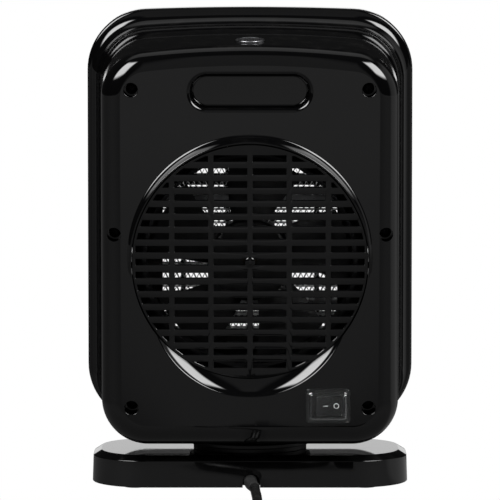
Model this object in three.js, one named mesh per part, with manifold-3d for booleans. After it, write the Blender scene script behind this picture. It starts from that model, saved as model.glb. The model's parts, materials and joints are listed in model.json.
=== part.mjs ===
// Oscillating ceramic (PTC) space heater.
// Millimetres, +Z up, the origin on the ground under the middle of the base.
// Warm air leaves towards -Y. The intake grille, the main switch and the cord are at +Y.
import * as THREE from 'three';
import { mergeVertices } from 'three/addons/utils/BufferGeometryUtils.js';
import Module from 'manifold-3d';

const wasm = await Module();
wasm.setup();

// ---------------------------------------------------------------- driving dimensions

const GAP = 0.3; // clearance between pieces that seat on each other
const PLAY = 0.6; // clearance round a piece that moves
const OVER = 1; // how far a cutting tool runs past the face it cuts

const BASE = {
  width: 187,
  depth: 87.4,
  corner: 34,
  top: 19.6,
  chamferDrop: 3.1,
  chamferInset: 5.4,
  wall: 2.2,
  clearance: 1, // the shell's lower edge above the ground, which is what the feet stand out
  plate: 2,
};
const FOOT = { radius: 7, sink: 0.8, insetX: 26, insetY: 13.5 };
const BASE_SCREW = { head: 2.8, headHeight: 1.6, shank: 1.3, boss: 3.6, insetX: 46, insetY: 17 };

// Heights of the neck and of everything in the body are above the base's top, where the body's frame stands.
const NECK = {
  postOuter: 9.7,
  postInner: 6.5,
  postTop: 17.4,
  postFlange: 16,
  ringOuter: 33.6,
  ringInner: 30.4,
  ringHeight: 2.4,
  skirtOuter: 36,
  skirtRimTop: 5.4,
  webRadius: 24,
  webThickness: 2.4,
  retainerOuter: 14.4,
  retainerThickness: 2,
};
const GEAR = { module: 1, fixedTeeth: 32, pinionTeeth: 12, fixedHeight: 3.4, pinionHeight: 4 };
const STEPPER = { radius: 14, height: 19, shaftOffset: 8, shaft: 2.5, ear: 3.5, earSpan: 35 };

const WALL = 2.4; // shells of the heater body
const REAR = { half: 86.5, bottom: 8.4, top: 241.7, corner: 27, crown: 545, seam: 50, bullNose: 12 };
const RIM = { half: 97.7, bottom: 9.4, top: 261, crown: 1684, corner: 36.5, back: -36, front: -64.5 };
const COVE = { depth: 16, sideRise: 5.5, topRise: 9, lowRise: -3.2, wallFlare: 3.4, shelfRise: 8.6 };
const EDGE = { rimBack: 2.2, rimFront: 5.2, fascia: 3 };
const TONGUE = { length: 4, thickness: 1.8 };

const INTAKE = {
  height: 115.9, // centre of the round intake
  radius: 68.6,
  slotRadius: 67.3,
  thickness: 3,
  rows: 19,
  pitch: 7.57,
  slot: 3.5,
  ribPitch: 22.7,
  rib: 3.5,
  lip: 3.4,
  tilt: THREE.MathUtils.degToRad(4),
  levelDrop: 9, // the tilted disc crosses the face this far under its centre
  scoopRadius: 58.6,
  scoopDrop: 20.8,
  sunk: 1,
  boss: 3,
};
const HANDLE = { length: 68.7, height: 18.9, centre: 214.7, depth: 16, flare: 2.4, wall: 2 };
const CASE_SCREW = { bore: 4.05, head: 3.5, headHeight: 2.6, shank: 1.7, length: 20, recess: 25, boss: 5.6 };
const CASE_SCREW_SPOTS = { cornerX: 69, topZ: 215.8, middleX: 79, middleZ: 131.9, lowZ: 30.8, post: 4.6 };

const SWITCH = {
  x: -45.4,
  z: 32.2,
  width: 18.4,
  height: 14.6,
  depth: 18,
  flange: 1.2,
  bezel: [2, 0.8], // how far the flange stands out past the cut-out at the ends and above it
  wall: 1,
  rockerPlay: 0.6,
  bootSeat: 1.8, // how far the boot's frame stands out past the pillow on each side
  rockerDepth: 7,
  rockerCrown: 0.6,
  bootFrame: 1.6,
  bootPillow: 6,
  bootWall: 0.8,
  tilt: THREE.MathUtils.degToRad(12),
};
const BUTTON = { radius: 8.3, height: 5, proud: 1.2, y: 38, bevel: 0.6 };

const FAN = { play: 2.5, hub: 24, hubDepth: 17, blades: 5, rear: 48, shaft: 2, blade: 1.6, sweep: 50, skin: 2 };
const DUCT = { inset: 8.1, wall: 2.2, rear: 52.5, front: 18, flange: 5.5, motorRing: 2, arm: 5 };
const MOTOR = { radius: 21, front: 2, rear: 28, nose: 8, noseLength: 2 };
const HEATER = { outer: 122, openWidth: 104, bars: 4, bar: 4.4, depth: 14, rear: -8, fin: 16, foldPitch: 5.2, sheet: 0.5 };
const NUT = { radius: 4.6, height: 2.5 };
const CUTOUT = { radius: 8, height: 6 };

const FASCIA = { thickness: 3, proud: 2 };
const OUTLET = { half: 72, bottom: 28.4, top: 198.4, corner: 18, rim: 4, rows: 16, slat: 3.4, rib: 3, columns: 5 };
const DISPLAY = { width: 72, height: 17, centre: 223.4, thickness: 1.6, board: 1.6 };
const POWER_BOARD = { width: 96, height: 40, thickness: 1.6, y: -44, bottom: 18.4 };

const NOTCH = { width: 10.2, height: 9.2, x: -0.8 };
const GLAND = { root: 3.9, tip: 3.3, inside: 6, aside: 0.5, above: 0.6 };
const CORD = { diameter: 5.8, sides: 10, step: 15 };
const COIL = { x: -8, y: 250, radius: 34.6, turnsAcross: 3, layers: 2 };
const TIE = { width: 9, thickness: 1.2 };
const PLUG = { width: 24.5, height: 16.4, length: 33, neck: 5.2, neckLength: 9, corner: 4 };
const BLADE = { width: 6.3, thickness: 1.5, length: 16, spacing: 12.7 };

// The free cord from the gland to the coil, then from the coil to the plug: its centre line.
const CORD_RUN = [
  [-2.6, 63, 3.9], [-3.2, 74, 3.1], [-3.6, 85, 3], [-4, 98, 3], [-4, 112, 3],
  [-2.4, 127, 3], [1.4, 142, 3], [6.6, 156, 3], [13, 170, 3], [20, 183, 3],
  [26, 196, 3], [30.2, 210, 3], [32.1, 224.5, 3],
];
const CORD_TAIL = [
  [-32, 290.4, 7.2], [-40.5, 289.7, 5.2], [-50, 286.6, 3.9], [-58.6, 281, 4.3], [-64.2, 272.4, 6.8], [-65, 263, 8.2],
];

// ---------------------------------------------------------------- values that follow from them

const baseTop = BASE.top;
const baseCeiling = baseTop - BASE.wall;
const gearDistance = (GEAR.module * (GEAR.fixedTeeth + GEAR.pinionTeeth)) / 2;
const floorTop = REAR.bottom + WALL;
const ringTop = GAP + NECK.ringHeight;
const facePlane = REAR.seam + REAR.bullNose;
const levelHeight = INTAKE.height - INTAKE.levelDrop;
const fasciaFront = RIM.front - FASCIA.proud;
const ductInner = INTAKE.radius - DUCT.inset;
const ductFlange = ductInner + DUCT.flange;
const fanRadius = ductInner - FAN.play;
const switchSize = [SWITCH.width, SWITCH.height];
const switchFlange = switchSize.map((size, side) => size + 2 * SWITCH.bezel[side]);
const bootFrame = switchFlange.map((size) => size + 2 * SWITCH.bootSeat);
const rockerSize = switchSize.map((size) => size - 2 * (SWITCH.wall + SWITCH.rockerPlay));
const coilHeight = CORD.diameter * COIL.layers + GAP;
const coilHalfWidth = (CORD.diameter * COIL.turnsAcross) / 2;

// ---------------------------------------------------------------- materials

const plastic = (color, roughness) => new THREE.MeshStandardMaterial({ color, roughness, metalness: 0 });
const metal = (color, roughness) => new THREE.MeshStandardMaterial({ color, roughness, metalness: 1 });
const MATERIAL = {
  gloss: plastic(0x0b0b0c, 0.12),
  satin: plastic(0x17171a, 0.5),
  inner: plastic(0x26262a, 0.6),
  heatproof: plastic(0x3a3632, 0.7),
  rubber: plastic(0x141414, 0.9),
  cord: plastic(0x101010, 0.55),
  clear: new THREE.MeshStandardMaterial({ color: 0xd8dcdc, roughness: 0.15, transparent: true, opacity: 0.35 }),
  acetal: plastic(0xdedbd2, 0.45),
  board: plastic(0x1d4d2c, 0.55),
  silver: metal(0xb9bcc0, 0.3),
  steel: metal(0x8b8e92, 0.35),
  aluminium: metal(0xc3c6ca, 0.4),
  brass: metal(0xb9974a, 0.3),
};

// ---------------------------------------------------------------- geometry helpers

/** Turns a closed geometry into a solid that can be joined and cut. */
function solidOf(geometry) {
  const bare = new THREE.BufferGeometry();
  bare.setAttribute('position', geometry.attributes.position.clone());
  if (geometry.index) bare.setIndex(geometry.index.clone());
  const merged = mergeVertices(bare, 1e-4);
  const triangles = [];
  const index = merged.index.array;
  for (let i = 0; i < index.length; i += 3) {
    const [a, b, c] = [index[i], index[i + 1], index[i + 2]];
    if (a !== b && b !== c && c !== a) triangles.push(a, b, c);
  }
  const mesh = new wasm.Mesh({
    numProp: 3,
    vertProperties: new Float32Array(merged.attributes.position.array),
    triVerts: new Uint32Array(triangles),
  });
  return new wasm.Manifold(mesh);
}

/** Turns a solid back into a geometry for a mesh. */
function geometryOf(solid) {
  const { vertProperties, triVerts } = solid.getMesh();
  const geometry = new THREE.BufferGeometry();
  geometry.setAttribute('position', new THREE.Float32BufferAttribute(vertProperties, 3));
  geometry.setIndex(new THREE.Uint32BufferAttribute(triVerts, 1));
  geometry.computeVertexNormals();
  return geometry;
}

/** Adds a named mesh to a group, at an optional place. */
function addPiece(group, name, shape, material, place = [0, 0, 0]) {
  const geometry = shape.isBufferGeometry ? shape : geometryOf(shape);
  const mesh = new THREE.Mesh(geometry, material);
  mesh.name = name;
  mesh.position.set(...place);
  group.add(mesh);
  return mesh;
}

/** A box between two corners. */
function box(low, high) {
  const size = high.map((value, axis) => value - low[axis]);
  const middle = high.map((value, axis) => (value + low[axis]) / 2);
  return new THREE.BoxGeometry(...size).translate(...middle);
}

/** An upright cylinder between two heights. */
function upright(radius, from, to, x = 0, y = 0, sides = 24) {
  const shape = new THREE.CylinderGeometry(radius, radius, to - from, sides);
  return shape.rotateX(Math.PI / 2).translate(x, y, (from + to) / 2);
}

/** A cylinder along Y, from the front end to the rear end. */
function barrel(radius, from, to, x, z, sides = 24) {
  return new THREE.CylinderGeometry(radius, radius, to - from, sides).translate(x, (from + to) / 2, z);
}

/** A closed profile of [radius, height] points, turned about Z. */
function turned(profile, sides = 48) {
  const points = [...profile, profile[0]].map(([radius, height]) => new THREE.Vector2(radius, height));
  return new THREE.LatheGeometry(points, sides).rotateX(Math.PI / 2);
}

/** A flat shape drawn in X and Z, made a plate between two Y planes. */
function plateAlongY(shape, front, rear) {
  const solid = new THREE.ExtrudeGeometry(shape, { depth: rear - front, bevelEnabled: false, curveSegments: 8 });
  return solid.rotateX(Math.PI / 2).translate(0, rear, 0);
}

/** A flat shape drawn in X and Y, made a plate between two heights. */
function plateAlongZ(shape, bottom, top) {
  const solid = new THREE.ExtrudeGeometry(shape, { depth: top - bottom, bevelEnabled: false, curveSegments: 8 });
  return solid.translate(0, 0, bottom);
}

/** A rounded rectangle as a shape, about a centre. */
function roundedRectangle(width, height, corner, x = 0, y = 0) {
  const points = roundedCorners(width / 2, height / 2, corner, 6);
  return new THREE.Shape(points.map(([u, v]) => new THREE.Vector2(u + x, v + y)));
}

/** The corner points of a rounded rectangle about the origin, anticlockwise. */
function roundedCorners(halfX, halfY, corner, steps) {
  const points = [];
  const centres = [[1, 1], [-1, 1], [-1, -1], [1, -1]];
  centres.forEach(([signX, signY], quarter) => {
    for (let step = 0; step <= steps; step += 1) {
      const angle = ((quarter + step / steps) * Math.PI) / 2;
      const x = signX * (halfX - corner) + corner * Math.cos(angle);
      const y = signY * (halfY - corner) + corner * Math.sin(angle);
      points.push([x, y]);
    }
  });
  return points;
}

/** Joins rings of equal length into one closed skin: a tube wall if closed, or capped at both ends. */
function ringLoft(rings, closed = false) {
  const count = rings[0].length;
  const positions = rings.flat().flatMap((point) => [point.x, point.y, point.z]);
  const index = [];
  const joins = closed ? rings.length : rings.length - 1;
  for (let ring = 0; ring < joins; ring += 1) {
    const here = ring * count;
    const next = ((ring + 1) % rings.length) * count;
    for (let i = 0; i < count; i += 1) {
      const j = (i + 1) % count;
      index.push(here + i, here + j, next + j, here + i, next + j, next + i);
    }
  }
  if (!closed) {
    capRing(positions, index, rings[0], 0, true);
    capRing(positions, index, rings[rings.length - 1], (rings.length - 1) * count, false);
  }
  const geometry = new THREE.BufferGeometry();
  geometry.setAttribute('position', new THREE.Float32BufferAttribute(positions, 3));
  geometry.setIndex(signedVolume(positions, index) < 0 ? index.toReversed() : index);
  geometry.computeVertexNormals();
  return geometry;
}

/** Closes the end of a loft with a fan about the ring's middle. */
function capRing(positions, index, ring, offset, first) {
  const middle = ring.reduce((sum, point) => sum.add(point), new THREE.Vector3()).divideScalar(ring.length);
  const hub = positions.length / 3;
  positions.push(middle.x, middle.y, middle.z);
  for (let i = 0; i < ring.length; i += 1) {
    const j = (i + 1) % ring.length;
    index.push(hub, offset + (first ? j : i), offset + (first ? i : j));
  }
}

/** Six times the volume inside a triangle list, negative when its faces point in. */
function signedVolume(positions, index) {
  const at = (i) => new THREE.Vector3(...positions.slice(i * 3, i * 3 + 3));
  let sum = 0;
  for (let i = 0; i < index.length; i += 3) {
    sum += at(index[i]).dot(at(index[i + 1]).cross(at(index[i + 2])));
  }
  return sum;
}

/** A straight gear's outline, with tooth 0 centred on the given angle. */
function gearShape(teeth, module, bore, firstTooth) {
  const pitchRadius = (teeth * module) / 2;
  const root = pitchRadius - 1.1 * module;
  const tip = pitchRadius + 0.8 * module;
  const pitch = (2 * Math.PI) / teeth;
  const corners = [[root, -0.3], [pitchRadius, -0.2], [tip, -0.09], [tip, 0.09], [pitchRadius, 0.2], [root, 0.3]];
  const points = [];
  for (let tooth = 0; tooth < teeth; tooth += 1) {
    for (const [radius, share] of corners) {
      const angle = firstTooth + (tooth + share) * pitch;
      points.push(new THREE.Vector2(radius * Math.cos(angle), radius * Math.sin(angle)));
    }
  }
  const shape = new THREE.Shape(points);
  const hole = new THREE.Path();
  hole.absarc(0, 0, bore, 0, 2 * Math.PI, true);
  shape.holes.push(hole);
  return shape;
}

// ---------------------------------------------------------------- outline of the heater body

/**
 * One upright section of the body, looking along Y: straight sides, round corners and an arched top.
 * The corner arcs touch both the side and the arch.
 */
function bodyOutline({ half, bottom, top, cornerTop, cornerBottom, crown }, y) {
  const cornerSteps = 6;
  const archSteps = 3;
  const archCentre = top - crown;
  const cornerX = half - cornerTop;
  const cornerZ = archCentre + Math.sqrt((crown - cornerTop) ** 2 - cornerX ** 2);
  const touch = Math.atan2(cornerZ - archCentre, cornerX);
  const right = [];
  for (let step = 0; step <= cornerSteps; step += 1) {
    const angle = ((step / cornerSteps - 1) * Math.PI) / 2;
    right.push([half - cornerBottom + cornerBottom * Math.cos(angle), bottom + cornerBottom * (1 + Math.sin(angle))]);
  }
  for (let step = 0; step <= cornerSteps; step += 1) {
    const angle = (step / cornerSteps) * touch;
    right.push([cornerX + cornerTop * Math.cos(angle), cornerZ + cornerTop * Math.sin(angle)]);
  }
  for (let step = 1; step <= archSteps; step += 1) {
    const angle = touch + (step / archSteps) * (Math.PI / 2 - touch);
    right.push([crown * Math.cos(angle), archCentre + crown * Math.sin(angle)]);
  }
  right[right.length - 1][0] = 0;
  const left = right.slice(0, -1).reverse().map(([x, z]) => [-x, z]);
  return [...right, ...left].map(([x, z]) => new THREE.Vector3(x, y, z));
}

/** A section moved inwards all round by the same distance. */
function inset(section, distance) {
  const least = 3;
  return {
    half: section.half - distance,
    bottom: section.bottom + distance,
    top: section.top - distance,
    cornerTop: Math.max(section.cornerTop - distance, least),
    cornerBottom: Math.max(section.cornerBottom - distance, least),
    crown: section.crown - distance,
  };
}

const rearSection = {
  half: REAR.half,
  bottom: REAR.bottom,
  top: REAR.top,
  cornerTop: REAR.corner,
  cornerBottom: REAR.corner,
  crown: REAR.crown,
};
const rimSection = {
  half: RIM.half,
  bottom: RIM.bottom,
  top: RIM.top,
  cornerTop: RIM.corner,
  cornerBottom: RIM.corner,
  crown: RIM.crown,
};
const rimBackSection = inset(rimSection, EDGE.rimBack);

/** Blends two sections: 0 gives the first and 1 the second. */
function blendSections(first, second, share) {
  const mix = (key) => THREE.MathUtils.lerp(first[key], second[key], share);
  return Object.fromEntries(Object.keys(first).map((key) => [key, mix(key)]));
}

/** The section where the side walls end and the cove that carries the rim begins. */
const coveSection = {
  half: REAR.half + COVE.wallFlare,
  bottom: rimBackSection.bottom + COVE.lowRise,
  top: REAR.top + COVE.shelfRise,
  cornerTop: REAR.corner + COVE.wallFlare,
  cornerBottom: REAR.corner + COVE.wallFlare,
  crown: 1.6 * REAR.crown,
};

/** Stations [section, y] of the housing's outside, from the rear seam to the front edge of the rim. */
function housingOutside() {
  const stations = [[rearSection, REAR.seam]];
  const coveStart = RIM.back + COVE.depth;
  const coveSteps = 5;
  for (let step = 0; step <= coveSteps; step += 1) {
    const angle = ((step / coveSteps) * Math.PI) / 2;
    const section = blendSections(coveSection, rimBackSection, 1 - Math.cos(angle));
    stations.push([section, coveStart - COVE.depth * Math.sin(angle)]);
  }
  for (const angle of [Math.PI / 4, Math.PI / 2]) {
    const distance = EDGE.rimBack * (1 - Math.sin(angle));
    stations.push([inset(rimSection, distance), RIM.back - EDGE.rimBack * (1 - Math.cos(angle))]);
  }
  const frontSteps = 4;
  for (let step = 0; step <= frontSteps; step += 1) {
    const angle = ((step / frontSteps) * Math.PI) / 2;
    const distance = EDGE.rimFront * (1 - Math.cos(angle));
    stations.push([inset(rimSection, distance), RIM.front + EDGE.rimFront * (1 - Math.sin(angle))]);
  }
  return stations;
}

/** Stations of the housing's inside, from the front edge back to the rear seam. */
function housingInside() {
  const rimInner = inset(rimSection, WALL);
  return [
    [inset(rimSection, EDGE.rimFront + WALL), RIM.front],
    [inset(rimSection, EDGE.rimFront + WALL), RIM.front + WALL],
    [rimInner, RIM.front + EDGE.rimFront + WALL],
    [rimInner, RIM.back - EDGE.rimBack - WALL],
    [inset(coveSection, WALL), RIM.back - EDGE.rimBack],
    [inset(coveSection, WALL), RIM.back + COVE.depth],
    [inset(rearSection, WALL), REAR.seam],
  ];
}

const fasciaSection = inset(rimSection, EDGE.rimFront + WALL + GAP);

// ---------------------------------------------------------------- the base

const base = new THREE.Group();

function baseRing(distance, height) {
  const corner = Math.max(BASE.corner - distance, 2);
  const points = roundedCorners(BASE.width / 2 - distance, BASE.depth / 2 - distance, corner, 6);
  return points.map(([x, y]) => new THREE.Vector3(x, y, height));
}

const baseScrewSpots = [[1, 1], [-1, 1], [-1, -1], [1, -1]].map(([signX, signY]) => [
  signX * (BASE.width / 2 - BASE_SCREW.insetX),
  signY * (BASE.depth / 2 - BASE_SCREW.insetY),
]);
const plateBottom = BASE.clearance;
const plateTop = plateBottom + BASE.plate;
const baseScrewLow = plateBottom - BASE_SCREW.headHeight / 2 + GAP;

/** The arch in the rear wall that the cord leaves by. */
function cordNotch(width, height) {
  const radius = width / 2;
  const rearWall = BASE.depth / 2;
  const arch = barrel(radius, rearWall - 3 * BASE.wall, rearWall + OVER, NOTCH.x, height - radius);
  const low = [NOTCH.x - radius, rearWall - 3 * BASE.wall, -OVER];
  const door = box(low, [NOTCH.x + radius, rearWall + OVER, height - radius]);
  return solidOf(arch).add(solidOf(door));
}

function baseCover() {
  const shoulder = baseTop - BASE.chamferDrop;
  const outside = [[0, BASE.clearance], [0, shoulder], [BASE.chamferInset, baseTop]];
  const inside = [
    [BASE.wall, BASE.clearance - OVER],
    [BASE.wall, shoulder - BASE.wall / 2],
    [BASE.chamferInset + BASE.wall / 2, baseCeiling],
  ];
  let cover = solidOf(ringLoft(outside.map(([distance, height]) => baseRing(distance, height))));
  cover = cover.subtract(solidOf(ringLoft(inside.map(([distance, height]) => baseRing(distance, height)))));
  for (const [x, y] of baseScrewSpots) {
    const boss = solidOf(upright(BASE_SCREW.boss, plateTop + GAP, baseCeiling + BASE.wall / 2, x, y, 12));
    cover = cover.add(boss);
  }
  for (const [x, y] of baseScrewSpots) {
    cover = cover.subtract(solidOf(upright(BASE_SCREW.shank + GAP, 0, baseCeiling - 2, x, y, 8)));
  }
  cover = cover.subtract(solidOf(upright(NECK.postOuter + GAP, 0, baseTop + OVER, 0, 0, 32)));
  return cover.subtract(cordNotch(NOTCH.width, NOTCH.height));
}

function basePlate() {
  const distance = BASE.wall + GAP;
  const plate = ringLoft([baseRing(distance, plateBottom), baseRing(distance, plateTop)]);
  let solid = solidOf(plate);
  for (const [x, y] of baseScrewSpots) {
    solid = solid.subtract(solidOf(upright(BASE_SCREW.shank + GAP, 0, plateTop + OVER, x, y, 8)));
    const sink = upright(BASE_SCREW.head + GAP, 0, baseScrewLow + BASE_SCREW.headHeight + GAP, x, y, 12);
    solid = solid.subtract(solidOf(sink));
  }
  for (const [x, y] of footSpots) {
    solid = solid.subtract(solidOf(upright(FOOT.radius + GAP, 0, plateBottom + FOOT.sink, x, y, 20)));
  }
  const back = BASE.depth / 2;
  const relief = box(
    [NOTCH.x - NOTCH.width / 2 - GAP, back - GLAND.inside - 2 * BASE.wall, 0],
    [NOTCH.x + NOTCH.width / 2 + GAP, back, plateTop + OVER],
  );
  return solid.subtract(solidOf(relief));
}

const footSpots = [[1, 1], [-1, 1], [-1, -1], [1, -1]].map(([signX, signY]) => [
  signX * (BASE.width / 2 - FOOT.insetX),
  signY * (BASE.depth / 2 - FOOT.insetY),
]);

/** A pan-head screw that stands head down at the origin of its own mesh. */
function screw({ head, headHeight, shank, length }) {
  const profile = [[0, 0], [0.7 * head, 0], [head, 0.4 * headHeight], [head, headHeight]];
  return turned([...profile, [shank, headHeight], [shank, headHeight + length], [0, headHeight + length]], 12);
}

addPiece(base, 'base_cover', baseCover(), MATERIAL.gloss);
addPiece(base, 'base_plate', basePlate(), MATERIAL.satin);
footSpots.forEach(([x, y], i) => {
  const foot = upright(FOOT.radius, 0, plateBottom + FOOT.sink - GAP, 0, 0, 20);
  addPiece(base, `rubber_foot_${i + 1}`, foot, MATERIAL.rubber, [x, y, 0]);
});
baseScrewSpots.forEach(([x, y], i) => {
  const length = baseCeiling - 3 - baseScrewLow - BASE_SCREW.headHeight;
  const place = [x, y, baseScrewLow];
  addPiece(base, `base_screw_${i + 1}`, screw({ ...BASE_SCREW, length }), MATERIAL.steel, place);
});

// ---------------------------------------------------------------- the swivel

function pivotPost() {
  const flangeTop = baseCeiling - GAP;
  return turned([
    [NECK.postInner, flangeTop - 2 * BASE.wall],
    [NECK.postFlange, flangeTop - 2 * BASE.wall],
    [NECK.postFlange, flangeTop],
    [NECK.postOuter, flangeTop],
    [NECK.postOuter, baseTop + NECK.postTop],
    [NECK.postInner, baseTop + NECK.postTop],
  ], 32);
}

function flatRing(outer, inner, bottom, top, sides = 48) {
  return turned([[inner, bottom], [outer, bottom], [outer, top], [inner, top]], sides);
}

const gearBottom = baseTop + GAP;
addPiece(base, 'pivot_post', pivotPost(), MATERIAL.satin);
addPiece(
  base,
  'swing_gear',
  plateAlongZ(
    gearShape(GEAR.fixedTeeth, GEAR.module, NECK.postOuter + GAP, Math.PI / GEAR.fixedTeeth + Math.PI / 2),
    gearBottom,
    gearBottom + GEAR.fixedHeight,
  ),
  MATERIAL.acetal,
);
addPiece(base, 'turntable_ring', flatRing(NECK.ringOuter, NECK.ringInner, gearBottom, baseTop + ringTop), MATERIAL.satin);
const retainerBottom = baseTop + floorTop + PLAY;
addPiece(
  base,
  'pivot_retainer',
  flatRing(NECK.retainerOuter, NECK.postOuter + GAP, retainerBottom, retainerBottom + NECK.retainerThickness, 32),
  MATERIAL.steel,
);

const body = new THREE.Group();
body.position.z = baseTop;

/** The collar under the body that turns on the ring: a rim with a web the swing shaft passes. */
function swivelSkirt() {
  const under = ringTop + GAP;
  const webTop = coveSection.bottom - GAP;
  const webBottom = webTop - NECK.webThickness;
  const post = NECK.postOuter + PLAY;
  const skirt = solidOf(turned([
    [post, webBottom],
    [NECK.ringInner, webBottom],
    [NECK.ringInner, under],
    [NECK.skirtOuter, under],
    [NECK.skirtOuter, NECK.skirtRimTop],
    [NECK.webRadius, webTop],
    [post, webTop],
  ]));
  return skirt.subtract(solidOf(upright(STEPPER.shaft + PLAY, 0, webTop + OVER, 0, gearDistance, 16)));
}

function stepperMotor() {
  const bottom = floorTop + GAP;
  const y = gearDistance + STEPPER.shaftOffset;
  const can = solidOf(upright(STEPPER.radius, bottom, bottom + STEPPER.height, 0, y, 32));
  const ears = plateAlongZ(
    roundedRectangle(STEPPER.earSpan + 2 * STEPPER.ear, 2 * STEPPER.ear, STEPPER.ear - 0.1, 0, y),
    bottom,
    bottom + BASE.wall / 2,
  );
  const bore = upright(STEPPER.shaft + GAP, 0, bottom + STEPPER.height / 2, 0, gearDistance, 16);
  return can.add(solidOf(ears)).subtract(solidOf(bore));
}

/** The pinion with its shaft, standing on its own axis. */
function swingPinion() {
  const bottom = 2 * GAP;
  const firstTooth = -Math.PI / 2;
  const teeth = plateAlongZ(
    gearShape(GEAR.pinionTeeth, GEAR.module, STEPPER.shaft / 2, firstTooth),
    bottom,
    bottom + GEAR.pinionHeight,
  );
  const shaft = upright(STEPPER.shaft, bottom, floorTop + STEPPER.height / 2 - OVER, 0, 0, 16);
  return solidOf(teeth).add(solidOf(shaft));
}

// ---------------------------------------------------------------- the housing and the rear cover

const screwSpots = [
  [CASE_SCREW_SPOTS.cornerX, CASE_SCREW_SPOTS.topZ],
  [-CASE_SCREW_SPOTS.cornerX, CASE_SCREW_SPOTS.topZ],
  [CASE_SCREW_SPOTS.middleX, CASE_SCREW_SPOTS.middleZ],
  [-CASE_SCREW_SPOTS.middleX, CASE_SCREW_SPOTS.middleZ],
  [CASE_SCREW_SPOTS.cornerX, CASE_SCREW_SPOTS.lowZ],
  [-CASE_SCREW_SPOTS.cornerX, CASE_SCREW_SPOTS.lowZ],
];
const screwFloor = facePlane - CASE_SCREW.recess;
const bossEnd = screwFloor - WALL;

/** The button's frame: its middle lies on the sloping top of the housing. */
const shelfSlope = Math.atan2(COVE.shelfRise, REAR.seam - (RIM.back + COVE.depth));
const buttonZ = REAR.top + Math.tan(shelfSlope) * (REAR.seam - BUTTON.y);

function inButtonFrame(geometry) {
  return geometry.rotateX(-shelfSlope).translate(0, BUTTON.y, buttonZ);
}

function housing() {
  const rings = [...housingOutside(), ...housingInside()].map(([section, y]) => bodyOutline(section, y));
  let shell = solidOf(ringLoft(rings, true));
  const postFront = RIM.back + COVE.depth;
  for (const [x, z] of screwSpots) {
    const side = Math.sign(x);
    const reach = REAR.half - WALL / 2;
    const post = barrel(CASE_SCREW_SPOTS.post, postFront, bossEnd - GAP, x, z, 12);
    const rib = box(
      [Math.min(x, side * reach), postFront, z - WALL / 2],
      [Math.max(x, side * reach), bossEnd - GAP, z + WALL / 2],
    );
    const hole = barrel(CASE_SCREW.shank + GAP, postFront + WALL, bossEnd, x, z, 10);
    shell = shell.add(solidOf(post)).add(solidOf(rib)).subtract(solidOf(hole));
  }
  const postHole = upright(NECK.postOuter + PLAY, 0, floorTop + OVER, 0, 0, 32);
  const shaftHole = upright(STEPPER.shaft + PLAY, 0, floorTop + OVER, 0, gearDistance, 16);
  const buttonHole = inButtonFrame(upright(BUTTON.radius + GAP, -2 * BUTTON.height, BUTTON.height, 0, 0, 32));
  return [postHole, shaftHole, buttonHole].reduce((solid, tool) => solid.subtract(solidOf(tool)), shell);
}

/** Moves a geometry made on the disc's own plane, facing +Y, to its tilted place. */
function onIntake(geometry) {
  return geometry.rotateX(-INTAKE.tilt).translate(0, facePlane, levelHeight);
}

/** A cylinder in the disc's frame, between two depths below the lip's crest. */
function intakeDrum(radius, from, to, sides = 48) {
  return onIntake(barrel(radius, from, to, 0, INTAKE.levelDrop, sides));
}

const scoopDepth = Math.sin(INTAKE.tilt) * (INTAKE.radius - INTAKE.levelDrop) + INTAKE.sunk;
const scoopWidth = INTAKE.scoopRadius + INTAKE.scoopDrop - INTAKE.radius;

/**
 * A shallow cone about the scoop's own centre, from its mouth on the face in to the disc's low edge.
 * A spread makes it wider and deeper, for the wall behind the scoop.
 */
function scoopCone(spread, mouth) {
  const sides = 48;
  const middle = INTAKE.height - INTAKE.scoopDrop;
  const ring = (radius, y) => Array.from({ length: sides }, (_, i) => {
    const angle = (i / sides) * 2 * Math.PI;
    return new THREE.Vector3(radius * Math.cos(angle), y, middle + radius * Math.sin(angle));
  });
  const outer = INTAKE.scoopRadius + spread;
  const inner = outer - scoopWidth;
  return ringLoft([ring(inner, facePlane - scoopDepth - spread), ring(outer, facePlane - spread), ring(outer, mouth)]);
}

/** A pill-shaped ring of points at one depth. */
function pillRing(length, height, y) {
  const points = roundedCorners(length / 2, height / 2, height / 2 - 0.05, 8);
  return points.map(([x, z]) => new THREE.Vector3(x, y, z + HANDLE.centre));
}

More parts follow.
